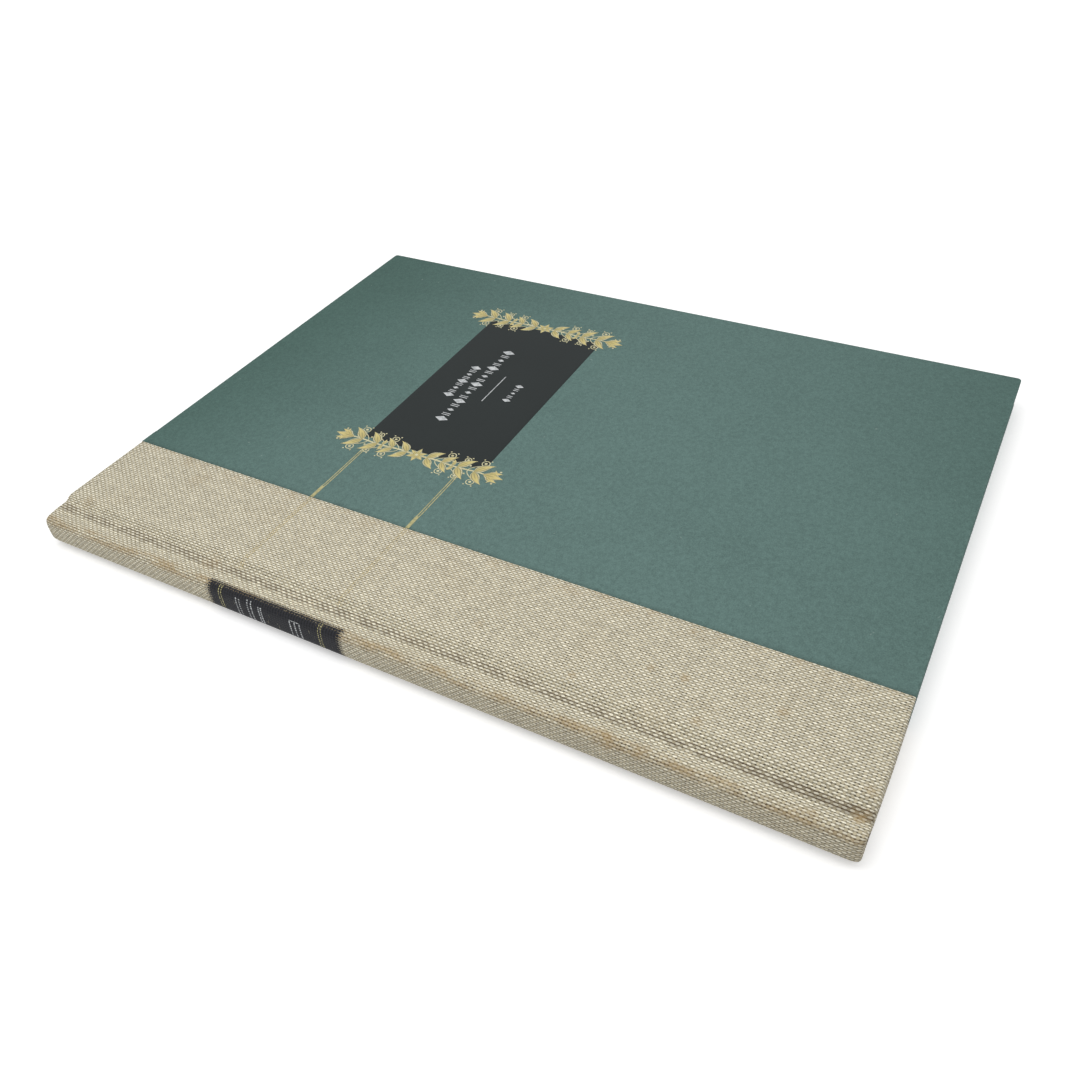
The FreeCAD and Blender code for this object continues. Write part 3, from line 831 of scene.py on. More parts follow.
@dataclass(frozen=True)
class ClothPrint(Finish):
    """Black blocked on the spine's cloth, thin in the valleys and ragged at its edges.

    Attributes:
        black: colour of the print.
        tail: lower end along the book.
        head: upper end along the book.
        reach: distance across where it ends, from the shoulder.
    """

    black: tuple[float, float, float] = (0.021, 0.022, 0.026)
    tail: float = 11.0
    head: float = 55.6
    reach: float = -0.2

    def build(self) -> bpy.types.Material:
        """Make the material.

        Returns:
            The material, see-through where the cloth's threads show.
        """
        material, graph, shader = self.start("cloth_print", 0.62, 0.16)
        place = graph.own_uv(CLOTH_UV)
        weave = graph.use(WEAVE, place=place)
        across, along, _ = graph.parts(place)
        height = weave.outputs["Height"]
        # Painted light of the weave's relief: the black is lighter on the high threads and in rows
        # that follow the weft.
        rib = graph.math("SINE", graph.times(along, 2 * math.pi / WEFT.pitch))
        tone = graph.times_plus(rib, 0.45, graph.times_plus(height, 0.5, 0.75))
        graph.feed(shader.inputs["Base Color"], graph.shade(self.black, tone))
        uneven = graph.minus(graph.times(height, 3.0), 1.7)
        inside = graph.math("MINIMUM", graph.minus(self.head, along),
                            graph.minus(along, self.tail))
        inside = graph.math("MINIMUM", inside, graph.minus(self.reach, across))
        kept = graph.ramp(graph.plus(inside, uneven), -0.12, 0.12)
        scratch = graph.noise(graph.together(graph.times(across, 0.25), along, 2.0), 1.4, 2.0)
        bare = graph.times(graph.ramp(scratch, 0.66, 0.76), graph.ramp(height, 0.75, 0.45))
        kept = graph.times(kept, graph.minus(1.0, bare))
        graph.feed(shader.inputs["Alpha"], kept)
        self.bump(graph, shader, height, 0.14, 0.9)
        return material


class Ground(Enum):
    """What a foil is blocked on, which decides how it breaks up."""

    PAPER = "paper"
    LEAF = "leaf"
    CLOTH = "cloth"


@dataclass(frozen=True)
class FoilBlock(Finish):
    """Metal foil, rubbed thin in places.

    Attributes:
        name: name of the material.
        bright: colour of the foil.
        dull: colour where it is thin.
        ground: what it is blocked on: leaves get a drawn rim and vein, and on cloth only the
            high threads took the foil.
        fill: colour inside a leaf's drawn rim.
        outline: colour of a leaf's drawn line and vein.
        metallic: how much the foil is metal.
    """

    name: str
    bright: tuple[float, float, float]
    dull: tuple[float, float, float]
    ground: Ground = Ground.PAPER
    fill: tuple[float, float, float] = (0.60, 0.51, 0.205)
    outline: tuple[float, float, float] = (0.035, 0.035, 0.022)
    metallic: float = 0.3

    def build(self) -> bpy.types.Material:
        """Make the material.

        Returns:
            The foil's material.
        """
        material, graph, shader = self.start(self.name, 0.45, 0.4)
        shader.inputs["Metallic"].default_value = self.metallic
        place = graph.object_mm()
        worn = graph.ramp(graph.noise(place, 1.1, 4.0), 0.40, 0.66)
        colour = graph.blend(graph.times(worn, 0.8), self.bright, self.dull)
        height = graph.noise(place, 3.0, 2.0)
        if self.ground is Ground.LEAF:
            colour = self.drawn(graph, colour)
        if self.ground is Ground.CLOTH:
            weave = graph.use(WEAVE, place=graph.own_uv(CLOTH_UV))
            height = weave.outputs["Height"]
            kept = graph.times(graph.ramp(height, 0.30, 0.52), graph.times_plus(worn, -0.35, 1.0))
            graph.feed(shader.inputs["Alpha"], kept)
        graph.feed(shader.inputs["Base Color"], colour)
        graph.feed(shader.inputs["Roughness"], graph.times_plus(worn, 0.16, 0.40))
        self.bump(graph, shader, height, 0.1 if self.ground is Ground.CLOTH else 0.02, 0.6)
        return material

    def drawn(self, graph: Graph, colour: object) -> bpy.types.NodeSocket:
        """A warmer fill, a dark line inside the rim, one outside it, and a short vein."""
        length, side, _ = graph.parts(graph.own_uv(LEAF_UV))
        is_leaf = graph.ramp(length, 1.6, 1.2)
        off = graph.math("ABSOLUTE", side)
        inside = graph.times(graph.ramp(off, 0.66, 0.58), is_leaf)
        warm = graph.shade(self.fill, graph.times_plus(length, 0.4, 0.78))
        colour = graph.blend(inside, colour, warm)
        line = graph.times(graph.ramp(off, 0.54, 0.60), graph.ramp(off, 0.74, 0.68))
        vein = graph.times(graph.ramp(off, 0.12, 0.04), graph.ramp(length, 0.6, 0.45))
        lines = graph.math("MAXIMUM", line, graph.times(vein, 0.6))
        lines = graph.math("MAXIMUM", lines, graph.ramp(off, 0.93, 0.96))
        lines = graph.times(lines, graph.times(is_leaf, 0.75))
        return graph.blend(lines, colour, self.outline)


@dataclass(frozen=True)
class PlainStock(Finish):
    """Paper, board or gauze of one colour with its grain.

    Attributes:
        name: name of the material.
        colour: its colour.
        grain: how much the grain varies the colour.
        roughness: roughness of the surface.
        relief: height of the grain in millimetres.
    """

    name: str
    colour: tuple[float, float, float]
    grain: float = 0.25
    roughness: float = 0.85
    relief: float = 0.03

    def build(self) -> bpy.types.Material:
        """Make the material.

        Returns:
            The material, which reads object coordinates.
        """
        material, graph, shader = self.start(self.name, self.roughness, 0.3)
        mottle = graph.use(MOTTLE, place=graph.object_mm(), grain=self.grain, cloud=0.08)
        graph.feed(shader.inputs["Base Color"], graph.shade(self.colour, mottle.outputs["Tone"]))
        self.bump(graph, shader, mottle.outputs["Height"], self.relief, 0.7)
        return material


@dataclass(frozen=True)
class PageEdges(Finish):
    """Edges of the leaves: fine stripes of paper and shadow through the thickness."""

    paper: tuple[float, float, float] = (0.80, 0.76, 0.66)
    shadow: tuple[float, float, float] = (0.42, 0.38, 0.30)

    def build(self) -> bpy.types.Material:
        """Make the material.

        Returns:
            The material, which reads object coordinates.
        """
        material, graph, shader = self.start("page_edges", 0.85, 0.3)
        x, y, z = graph.parts(graph.object_mm())
        run = graph.plus(x, y)
        stack = graph.together(graph.times(run, 0.02), 0.0, graph.times(z, 9.0))
        stripe = graph.noise(stack, 1.0, 3.0)
        colour = graph.blend(graph.ramp(stripe, 0.35, 0.62), self.shadow, self.paper)
        graph.feed(shader.inputs["Base Color"], colour)
        self.bump(graph, shader, stripe, 0.05, 0.8)
        return material


@dataclass(frozen=True)
class HeadbandSilk(Finish):
    """Headband thread wound in two colours across the book's thickness."""

    light: tuple[float, float, float] = (0.70, 0.64, 0.50)
    dark: tuple[float, float, float] = (0.16, 0.24, 0.21)
    pitch: float = 1.1

    def build(self) -> bpy.types.Material:
        """Make the material.

        Returns:
            The material, which reads object coordinates.
        """
        material, graph, shader = self.start("headband_silk", 0.55, 0.5)
        _, _, z = graph.parts(graph.object_mm())
        turns = graph.math("DIVIDE", z, self.pitch)
        wave = graph.math("SINE", graph.times(turns, 2 * math.pi))
        thread = graph.math("SINE", graph.times(turns, 8 * math.pi))
        graph.feed(shader.inputs["Base Color"],
                   graph.blend(graph.ramp(wave, -0.2, 0.2), self.light, self.dark))
        self.bump(graph, shader, thread, 0.05, 0.8)
        return material


@dataclass
class CaseCloth:
    """The woven cloth over the spine, the joints and the near part of both boards.

    Attributes:
        groove_start: across of the groove floor's near edge.
        groove_end: across of its far edge.
        groove_depth: depth of the floor.
        ramp_end: across where the cloth is level with the cover's face again.
        thickness: of the cloth.
        doubled: of the cloth where it is turned in on itself.
        folded: of cloth, card and turned-in cloth at the spine's ends.
        hem: how far the cloth is turned in at head and tail.
        cap_head: length over which the spine's head end is rounded in plan.
        cap_tail: the same at the tail.
        share_head: how much of the spine's bulge is left at its very head end.
        share_tail: the same at the tail.
        spine_rounding: radius of the spine's edges at head and tail.
        squareness: power of the spine's rounded section, 2 for an ellipse.
        tuck: how far the tail edge stands in at the spine, where no board fills the cloth.
        tuck_end: across where it is level with the board's edge again.
        shallow: how much less deep the groove is at its very head end.
        shallow_end: length over which it gets so.
        covered: distance of the cloth from the paper's edges where it lies under the paper.
        stretched: distances over the joint, and the threads' own millimetres there, which are
            fewer on the groove's floor, where the columns are pulled apart.
    """

    groove_start: float = 5.6
    groove_end: float = 8.0
    groove_depth: float = 1.8
    ramp_end: float = 11.8
    thickness: float = 0.34
    doubled: float = 0.8
    folded: float = 1.6
    hem: float = 15.0
    cap_head: float = 3.0
    cap_tail: float = 2.8
    share_head: float = 0.8
    share_tail: float = 0.5
    spine_rounding: float = 0.79
    squareness: float = 3.5
    tuck: float = 0.4
    tuck_end: float = 30.0
    shallow: float = 0.6
    shallow_end: float = 9.0
    covered: float = 0.2
    stretched: tuple[tuple[float, ...], tuple[float, ...]] = (
        (0.0, 2.74, 5.35, 60.0), (0.0, 2.74, 4.795, 59.445))

    def slope(self, start: tuple[float, float], end: tuple[float, float],
              count: int) -> np.ndarray:
        """S-shaped line, level at both ends.

        It is the cubic Bezier curve whose two inner poles stand at the middle distance, at the
        depth of the start and of the end.

        Args:
            start: distance across and depth where it starts.
            end: the same where it ends.
            count: number of points.

        Returns:
            Array of count by two.
        """
        t = np.linspace(0.0, 1.0, count)
        middle = (start[0] + end[0]) / 2
        across = (1 - t) ** 3 * start[0] + 3 * t * (1 - t) * middle + t ** 3 * end[0]
        depth = start[1] + (end[1] - start[1]) * smooth(t)
        return np.stack([across, depth], -1)

    def cover_line(self) -> np.ndarray:
        """Section of the cloth on a cover, from the shoulder to its end under the paper."""
        shoulder = (BOOK.shoulder, BOOK.shoulder_depth)
        near, far = (self.groove_start, self.groove_depth), (self.groove_end, self.groove_depth)
        floor = np.linspace(near, far, 8)
        flat_start = np.array([self.ramp_end, 0.0])
        flat = np.linspace(flat_start, (BOOK.cloth_edge, 0.0), 30)
        tongue = np.linspace((BOOK.cloth_edge + 0.06, 0.0), (BOOK.cloth_end, 0.0), 4)
        return np.concatenate([self.slope(shoulder, near, 16), floor[1:],
                               self.slope(far, (self.ramp_end, 0.0), 20)[1:],
                               flat[1:], tongue])

    def spine_section(self, turn: np.ndarray) -> tuple[np.ndarray, np.ndarray]:
        """Rounded section of the spine, as shares of its two half sizes.

        It is a superellipse: the cosine and the sine of the turn, each to the power of two over
        the squareness, with the sine's sign kept.

        Args:
            turn: from minus a quarter turn at the back shoulder to a quarter at the front.

        Returns:
            Share outwards and share upwards.
        """
        power = 2 / self.squareness
        out = np.maximum(np.cos(turn), 0.0) ** power
        return out, np.sign(turn) * np.abs(np.sin(turn)) ** power

    def spine_line(self, count: int = 64) -> np.ndarray:
        """Section of the spine from the back shoulder round to the front."""
        turn = np.linspace(-np.pi / 2, np.pi / 2, count)
        out, up = self.spine_section(turn)
        middle = BOOK.thickness / 2
        across = BOOK.shoulder * (1 - out)
        depth = middle - (middle - BOOK.shoulder_depth) * up
        return np.stack([across, depth], -1)

    def hemmed(self, thick: np.ndarray, across: np.ndarray, count: int = 90,
               rounding: float = 0.55) -> tuple[np.ndarray, np.ndarray, np.ndarray]:
        """Path of the cloth from its tail hem round the tail edge to the head edge and its hem.

        It runs along the inner face, round a quarter circle, up the edge, round another quarter
        circle, along the outer face, and the same in reverse at the head.

        Args:
            thick: distance between outer and inner face at each place across.
            across: those places, which give how far the tail edge stands in.
            count: number of places along the outer face.
            rounding: radius of the edges at head and tail.

        Returns:
            Places along, distances inwards, and distances along the path that agree with the
            places along on the outer face. Each has one row for each place across.
        """
        thick = thick[:, None]
        inset = self.tuck * smooth((self.tuck_end - across[:, None]) / self.tuck_end)
        radius = np.minimum(rounding, thick * 0.499)
        half = BOOK.half_height
        turn = np.linspace(0.0, np.pi / 2, 6)[None, :]
        hem = np.linspace(0.0, 1.0, 5)[None, :-1]
        inner_along = (half - self.hem) + (self.hem - radius) * hem
        low_along = (half - radius) + radius * np.sin(turn)
        low_in = thick - radius + radius * np.cos(turn)
        high_along = (half - radius) + radius * np.cos(turn)
        high_in = radius - radius * np.sin(turn)
        end_along = np.concatenate([inner_along, low_along, high_along], 1)
        end_in = np.concatenate([thick + 0 * inner_along, low_in, high_in], 1)
        step = np.linspace(0.0, 1.0, count + 2)[None, 1:-1]
        mid_along = (inset - half + radius) + (2 * (half - radius) - inset) * step
        along = np.concatenate([inset - end_along, mid_along, end_along[:, ::-1]], 1)
        inwards = np.concatenate([end_in, 0 * mid_along, end_in[:, ::-1]], 1)
        steps = np.hypot(np.diff(along, axis=1), np.diff(inwards, axis=1))
        path = np.concatenate([np.zeros((len(along), 1)), np.cumsum(steps, 1)], 1)
        path = path - (path[:, -1:] + inset) / 2 + inset
        return along, inwards, path

    def build_cover(self, side: Side, material: bpy.types.Material) -> bpy.types.Object:
        """Cloth of one cover, from the spine's shoulder to its edge under the paper.

        Args:
            side: which cover.
            material: the cloth's material.

        Returns:
            The finished piece, which lies over that cover's joint.
        """
        line = self.cover_line()
        across, depth = line[:, 0], line[:, 1]
        rise = smooth((across - self.groove_end) / (BOOK.board_start - self.groove_end))
        thick = self.doubled + (BOOK.lined_depth - depth - self.doubled) * rise
        under = np.where(across > BOOK.cloth_edge + 0.01, self.covered, 0.0)
        depth = depth + under / 4
        thick = thick - under
        along, inwards, path = self.hemmed(thick, across)
        along = along * (1 - under / BOOK.half_height)[:, None]
        arc = run_length(line)
        floor = smooth((across - BOOK.shoulder) / (self.groove_start - BOOK.shoulder))
        floor = floor * depth / self.groove_depth * (across < self.ramp_end)
        near_head = smooth((along - (BOOK.half_height - self.shallow_end)) / self.shallow_end)
        fall = depth[:, None] - self.shallow * floor[:, None] * near_head
        points = BOOK.place(across[:, None], along, fall + inwards, side)
        spread = np.interp(arc, *self.stretched)
        places = pairs(spread[:, None], path)
        thing = make_object(f"{side.value}_case_cloth",
                            [Patch(points, places, side is Side.BACK)])
        thicken(thing, self.thickness)
        dress(thing, material)
        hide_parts(f"{side.value}_side_cloth", f"{side.value}_joint_cloth")
        bend(thing, side)
        report(thing)
        return thing

    def bulge(self, along: np.ndarray) -> np.ndarray:
        """Share of the spine's bulge at a place along it.

        It is 1 in the middle and falls as a quarter of an ellipse over the last stretch.
        """
        stretch = np.where(along > 0, self.cap_head, self.cap_tail)
        into = np.clip((np.abs(along) - (BOOK.half_height - stretch)) / stretch, 0.0, 1.0)
        share = np.where(along > 0, self.share_head, self.share_tail)
        return share + (1 - share) * np.sqrt(1 - into ** 2 * 0.999)

    def spine_surface(self, turn_share: np.ndarray, along: np.ndarray,
                      inwards: np.ndarray) -> tuple[np.ndarray, np.ndarray]:
        """Places on the spine.

        Args:
            turn_share: from 0 at the back shoulder to 1 at the front shoulder.
            along: places along the spine.
            inwards: distances inside the outer face, along its normal.

        Returns:
            Distances across and depths.
        """
        turn = (turn_share - 0.5) * np.pi
        middle = BOOK.thickness / 2
        half = middle - BOOK.shoulder_depth
        out, up = self.spine_section(turn)
        power = self.squareness - 1
        normal_a = out ** power / BOOK.shoulder
        normal_d = np.sign(up) * np.abs(up) ** power / half
        size = np.hypot(normal_a, normal_d)
        across = BOOK.shoulder * (1 - out * self.bulge(along)) + inwards * normal_a / size
        depth = middle - half * up + inwards * normal_d / size
        return across, depth

    def spine_arc(self) -> np.ndarray:
        """Places round the spine in cloth millimetres: 0 at the front shoulder, less behind."""
        arc = run_length(self.spine_line())
        return (arc / arc[-1] - 1.0) * SPINE_THREADS * WARP.pitch

    def build_spine(self, material: bpy.types.Material) -> bpy.types.Object:
        """Cloth round the spine, turned over the card at head and tail.

        Args:
            material: the cloth's material.

        Returns:
            The finished piece.
        """
        arc = self.spine_arc()
        share = np.linspace(0.0, 1.0, len(arc))
        from_shoulder = np.minimum(-arc, arc - arc[0])
        thick = self.doubled + (self.folded - self.doubled) * smooth(from_shoulder / 1.4)
        along, inwards, path = self.hemmed(thick, 0 * thick, 150, self.spine_rounding)
        across, depth = self.spine_surface(share[:, None], along, inwards)
        points = BOOK.place(across, along, depth)
        places = pairs(arc[:, None], path)
        thing = make_object("spine_case_cloth", [Patch(points, places)])
        thicken(thing, self.thickness)
        dress(thing, material)
        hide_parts("spine_cloth")
        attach(thing, "book_block")
        report(thing)
        return thing

    def build_card(self, material: bpy.types.Material) -> bpy.types.Object:
        """Thin card inside the spine's cloth, rounded with it at both ends.

        Args:
            material: the card's material.

        Returns:
            The finished piece.
        """
        share, along = np.meshgrid(np.linspace(0.12, 0.88, 40),
                                   np.linspace(self.tuck + 1.6 - BOOK.half_height,
                                               BOOK.half_height - 1.6, 80),
                                   indexing="ij")
        across, depth = self.spine_surface(share, along, self.doubled / 2 + 0 * share)
        thing = make_object("spine_stiffener", [Patch(BOOK.place(across, along, depth),
                                                      np.stack([share, along], -1))])
        thicken(thing, self.folded - self.doubled - 0.06)
        dress(thing, material)
        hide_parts("spine_card")
        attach(thing, "book_block")
        report(thing)
        return thing


def bend(thing: bpy.types.Object, side: Side) -> None:
    """Bake a sheet's transform into its mesh; where it would turn between the pages and a cover is
    worked out, but nothing is bent.
    """
    near, far = (BOOK.place(BOOK.shoulder + reach, 0.0, BEND_DEPTH, side)
                 for reach in (BEND_START, BEND_END))
    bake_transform(thing)


@dataclass
class GreenSiding:
    """Green paper over a board and over the cloth's edge, turned in on three sides.

    Attributes:
        thickness: of the paper.
        corner: radius of the cover's corners in plan.
        rounding: radius of the edges of its face.
        hem: how far the paper is turned in.
        ridge: how much it stands up where the cloth lies under it.
        ridge_fall: distance over which it comes down beyond the cloth's end.
    """

    thickness: float = 0.16
    corner: float = 1.2
    rounding: float = 0.4
    hem: float = 15.0
    ridge: float = 0.14
    ridge_fall: float = 1.6

    def wrap(self) -> tuple[np.ndarray, np.ndarray]:
        """Path from inside the corner's centre line over the edge to the end of the hem.

        Returns:
            Distances outwards from the cover's edge, and depths.
        """
        turn = np.linspace(0.0, np.pi / 2, 6)
        r, t = self.rounding, BOOK.lined_depth
        out = np.concatenate([[-0.8], -r + r * np.sin(turn), -r + r * np.cos(turn),
                              [-0.9, -self.corner, -4.0, -self.hem]])
        depth = np.concatenate([[0.0], r - r * np.cos(turn), t - r + r * np.sin(turn),
                                [t, t, t, t]])
        return out, depth

    def build(self, side: Side, material: bpy.types.Material) -> bpy.types.Object:
        """Paper of one cover.

        The grid has a flat middle and a border of rings on three sides. A ring's place is the
        corner's centre plus a direction times the corner's radius and the distance outwards. A
        ring that lies further in than that centre has square corners, which makes the mitre.

        Args:
            side: which cover.
            material: the paper's material.

        Returns:
            The finished piece.
        """
        out, fall = self.wrap()
        rings = len(out)
        centre_a = BOOK.width - self.corner
        centre_y = BOOK.half_height - self.corner
        start = BOOK.cloth_edge
        edge = BOOK.cloth_end
        near = np.linspace(edge - 0.4, edge + self.ridge_fall, 8)
        inner_a = np.concatenate([[start, start + 0.5], near,
                                  np.linspace(edge + 6.0, centre_a, 14)])
        inner_y = np.linspace(-centre_y, centre_y, 40)
        grid_a = np.concatenate([inner_a, np.full(rings, centre_a)])
        ring_a = np.concatenate([np.zeros(len(inner_a), int), np.arange(1, rings + 1)])
        grid_y = np.concatenate([np.full(rings, -centre_y), inner_y, np.full(rings, centre_y)])
        ring_y = np.concatenate([np.arange(rings, 0, -1), np.zeros(len(inner_y), int),
                                 np.arange(1, rings + 1)])
        ahead, aside = np.meshgrid(ring_a, ring_y, indexing="ij")
        across, along = np.meshgrid(grid_a, grid_y, indexing="ij")
        ring = np.maximum(ahead, aside)
        outwards = np.concatenate([[-self.corner], out])[ring]
        depth = np.concatenate([[0.0], fall])[ring]
        inset = np.maximum(0.0, -(self.corner + outwards))
        radius = np.maximum(0.0, self.corner + outwards)
        angle = np.where(ahead >= aside, 0.25 * np.pi * aside / np.maximum(ahead, 1),
                         0.5 * np.pi - 0.25 * np.pi * ahead / np.maximum(aside, 1))
        across = np.minimum(across, centre_a - inset) + radius * np.cos(angle) * (ahead > 0)
        limit = centre_y - inset
        upward = np.sign(along) * (aside > 0)
        along = np.clip(along, -limit, limit) + radius * np.sin(angle) * upward
        raised = self.ridge * (1 - smooth((across - edge + 0.3) / self.ridge_fall))
        half = BOOK.lined_depth / 2
        depth = depth - raised * np.clip((half - depth) / half, 0.0, 1.0)
        points = BOOK.place(across, along, depth, side)
        places = np.stack([across, along], -1)
        thing = make_object(f"{side.value}_siding_sheet",
                            [Patch(points, places, side is Side.BACK)], merge=2e-6)
        thicken(thing, self.thickness)
        dress(thing, material)
        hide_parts(f"{side.value}_siding_paper")
        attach(thing, f"{side.value}_cover")
        report(thing)
        return thing


@dataclass
class LeafSpray:
    """Gold spray of leaves, berries and scrolls on a straight stem.

    Attributes:
        node: the CAD node that it stands for.
        rise: how far the foil stands on the paper.
        dome: how much the foil bulges at a leaf's middle.
        layer: height of the last leaf over the first, so that leaves may overlap.
        patches: the surfaces made so far.
    """

    node: str
    rise: float = 0.035
    dome: float = 0.05
    layer: float = 0.0
    patches: list[Patch] = field(default_factory=list)

    def ribbon(self, path: np.ndarray, half: np.ndarray, dome: float, level: float = 0.0,
               first: float = PLAIN) -> None:
        """Add a domed strip of foil.

        A point is the path's point plus the path's left normal times the half width times a
        share from -1 to 1, and it stands up by the dome times one less the share's square.

        Args:
            path: middle line, points by two, as across and along.
            half: half width at each point.
            dome: height of the middle over the rim.
            level: extra height of the whole strip.
            first: its own coordinate at its start: 0 for a leaf, PLAIN for a strip without a
                drawn rim.
        """
        heading = np.gradient(path, axis=0)
        heading = heading / np.maximum(np.linalg.norm(heading, axis=1, keepdims=True), 1e-9)
        normal = np.stack([-heading[:, 1], heading[:, 0]], -1)
        share = np.array([-1.0, -0.75, -0.3, 0.0, 0.3, 0.75, 1.0])
        spot = path[:, None, :] + normal[:, None, :] * (half[:, None] * share)[..., None]
        height = self.rise + level + dome * (1 - share ** 2)[None, :] * np.minimum(
            1.0, half / max(half.max(), 1e-9))[:, None]
        points = BOOK.place(spot[..., 0], spot[..., 1], -height)
        run = np.linspace(first, first + 1.0, len(path))
        places = pairs(run[:, None], share[None, :])
        self.patches.append(Patch(points, places, turned=True))

    def leaf(self, root: tuple[float, float], length: float, width: float, angle: float,
             curl: float = 0.0) -> None:
        """Add a pointed leaf with a curved rib and a drawn-out tip.

        Its half width is the sine of half a turn times the share of its length to a power, and
        the whole to another power.

        Args:
            root: where it leaves the stem.
            length: from root to tip.
            width: at its widest.
            angle: heading in degrees from the across direction.
            curl: how far the tip turns aside, as a share of the length.
        """
        run = np.linspace(0.0, 1.0, 15)
        turn = math.radians(angle)
        ahead = np.array([math.cos(turn), math.sin(turn)])
        aside = np.array([-math.sin(turn), math.cos(turn)])
        path = (np.array(root) + ahead * (run * length)[:, None]
                + aside * (curl * length * (1.6 * run ** 3 - 0.6 * run))[:, None])
        half = 0.5 * width * np.sin(np.pi * run ** 0.72) ** 1.25
        half[0], half[-1] = 0.09, 0.03
        self.layer += 0.0012
        self.ribbon(path, np.maximum(half, 0.06 * (1 - run) + 0.02), self.dome, self.layer, 0.0)

    def scroll(self, middle: tuple[float, float], radius: float, root: tuple[float, float],
               hand: int) -> None:
        """Add a small round scroll on a stalk, with a berry in it and two dots outside it.

        Args:
            middle: the scroll's middle.
            radius: of its ring.
            root: where its stalk leaves the stem.
            hand: the side of the stem, 1 or -1.
        """
        run = np.linspace(0.0, 1.0, 12)[:, None]
        start, end = np.array(root), np.array(middle) - (hand * radius, 0.0)
        self.ribbon(start + (end - start) * run ** (0.7, 1.3), np.full(12, 0.13), 0.0)
        self.ring(middle, radius, 0.30)
        self.berry(middle, 0.40 * radius, 0.02)
        for turn in (-0.7, 0.7):
            away = 1.7 * radius
            self.berry((middle[0] + hand * away * math.cos(turn),
                        middle[1] + away * math.sin(turn)), 0.26, 0.02)

    def berry(self, middle: tuple[float, float], radius: float, level: float = 0.0) -> None:
        """Add a round domed dot, as a strip from its middle to its rim turned once about."""
        turn = np.linspace(0.0, 2 * np.pi, 17)
        share = np.array([0.0, 0.5, 0.85, 1.0])
        spot_a = middle[0] + radius * share[None, :] * np.cos(turn)[:, None]
        spot_y = middle[1] + radius * share[None, :] * np.sin(turn)[:, None]
        height = self.rise + level + 0.8 * self.dome * (1 - share ** 2)[None, :]
        points = BOOK.place(spot_a, spot_y, -height + 0 * spot_a)
        places = pairs(PLAIN + 0 * turn[:, None], share[None, :])
        self.patches.append(Patch(points, places, turned=True))

    def ring(self, middle: tuple[float, float], radius: float, width: float) -> None:
        """Add a flat ring."""
        turn = np.linspace(0.0, 2 * np.pi, 33)
        path = np.stack([middle[0] + radius * np.cos(turn), middle[1] + radius * np.sin(turn)], -1)
        self.ribbon(path, np.full(len(turn), width / 2), 0.01)

    def build(self, material: bpy.types.Material) -> bpy.types.Object:
        """Lay out the spray on its CAD node's place and make it one piece.

        Args:
            material: the gold foil's material.

        Returns:
            The finished piece.
        """
        low, high = box_mm(self.node)
        stem = (low[0] + high[0]) / 2 - BOOK.spine_line
        middle = (low[1] + high[1]) / 2
        reach = (high[1] - low[1]) / 2
        for angle in range(0, 360, 60):
            self.leaf((stem, middle), 3.3, 1.7, angle)
        self.ring((stem, middle), 1.15, 0.34)
        self.berry((stem, middle), 0.6, 0.03)
        for side in (-1, 1):
            self.half_spray(stem, middle, reach, side)
        thing = make_object(f"{self.node.replace('_foil', '')}_spray", self.patches, LEAF_UV)
        dress(thing, material)
        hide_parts(self.node)
        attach(thing, "front_cover")
        report(thing)
        return thing

    def half_spray(self, stem: float, middle: float, reach: float, side: int) -> None:
        """Lay out the leaves, scrolls and berries from the middle to one end.

        Args:
            stem: the stem's distance across.
            middle: the ring's place along.
            reach: half the spray's length.
            side: 1 towards the head, -1 towards the tail.
        """
        def spot(off: float, share: float) -> tuple[float, float]:
            """A place beside the stem, by the share of the reach along it."""
            return stem + off, middle + side * share * reach

        run = np.linspace(0.0, 1.0, 30)
        sway = 0.22 * np.sin(run * 3 * np.pi)
        line = np.stack([stem + sway, middle + side * reach * (0.06 + 0.80 * run)], -1)
        self.ribbon(line, 0.36 - 0.12 * run, 0.02)
        rows = ((0.12, 6.0, 40, 2.8), (0.30, 5.4, 36, 2.5), (0.485, 6.4, 36, 3.0),
                (0.675, 6.8, 40, 3.0), (0.82, 4.9, 58, 2.4))
        scrolls = ((0.345, 4.1, 1.15), (0.53, 4.2, 0.95), (0.725, 4.7, 1.2))
        buds = ((0.21, 2.0, 0.34), (0.40, 1.9, 0.34), (0.60, 2.0, 0.36), (0.93, 2.9, 0.36))
        for hand in (-1, 1):
            for share, gap, radius in scrolls:
                self.scroll(spot(hand * gap, share), radius, spot(0.0, share - 0.12), hand)
            for share, size, width in ((0.43, 2.9, 1.4), (0.90, 3.2, 1.6)):
                self.leaf(spot(0.0, share), size, width, side * (90 - hand * 98), 0.15 * hand)
            for share, size, spread, width in rows:
                self.leaf(spot(0.0, share), size, width, side * (90 - hand * (90 - spread)),
                          0.12 * hand * side)
            for share, gap, radius in buds:
                self.berry(spot(hand * gap, share), radius, 0.03)
        self.leaf(spot(0.0, 0.785), 0.22 * reach, 3.3, side * 90)


def flat_patch(outline_a: tuple[float, float], outline_y: tuple[float, float], depth: float,
               counts: tuple[int, int] = (2, 2)) -> Patch:
    """Rectangle on the front cover's face.

    Args:
        outline_a: ends across.
        outline_y: ends along.
        depth: depth below the cover's face.
        counts: vertices across and along.

    Returns:
        The patch, facing up.
    """
    across, along = np.meshgrid(np.linspace(*outline_a, counts[0]),
                                np.linspace(*outline_y, counts[1]), indexing="ij")
    share = np.meshgrid(np.linspace(0, 1, counts[0]), np.linspace(-1, 1, counts[1]),
                        indexing="ij")
    return Patch(BOOK.place(across, along, depth), np.stack(share, -1))


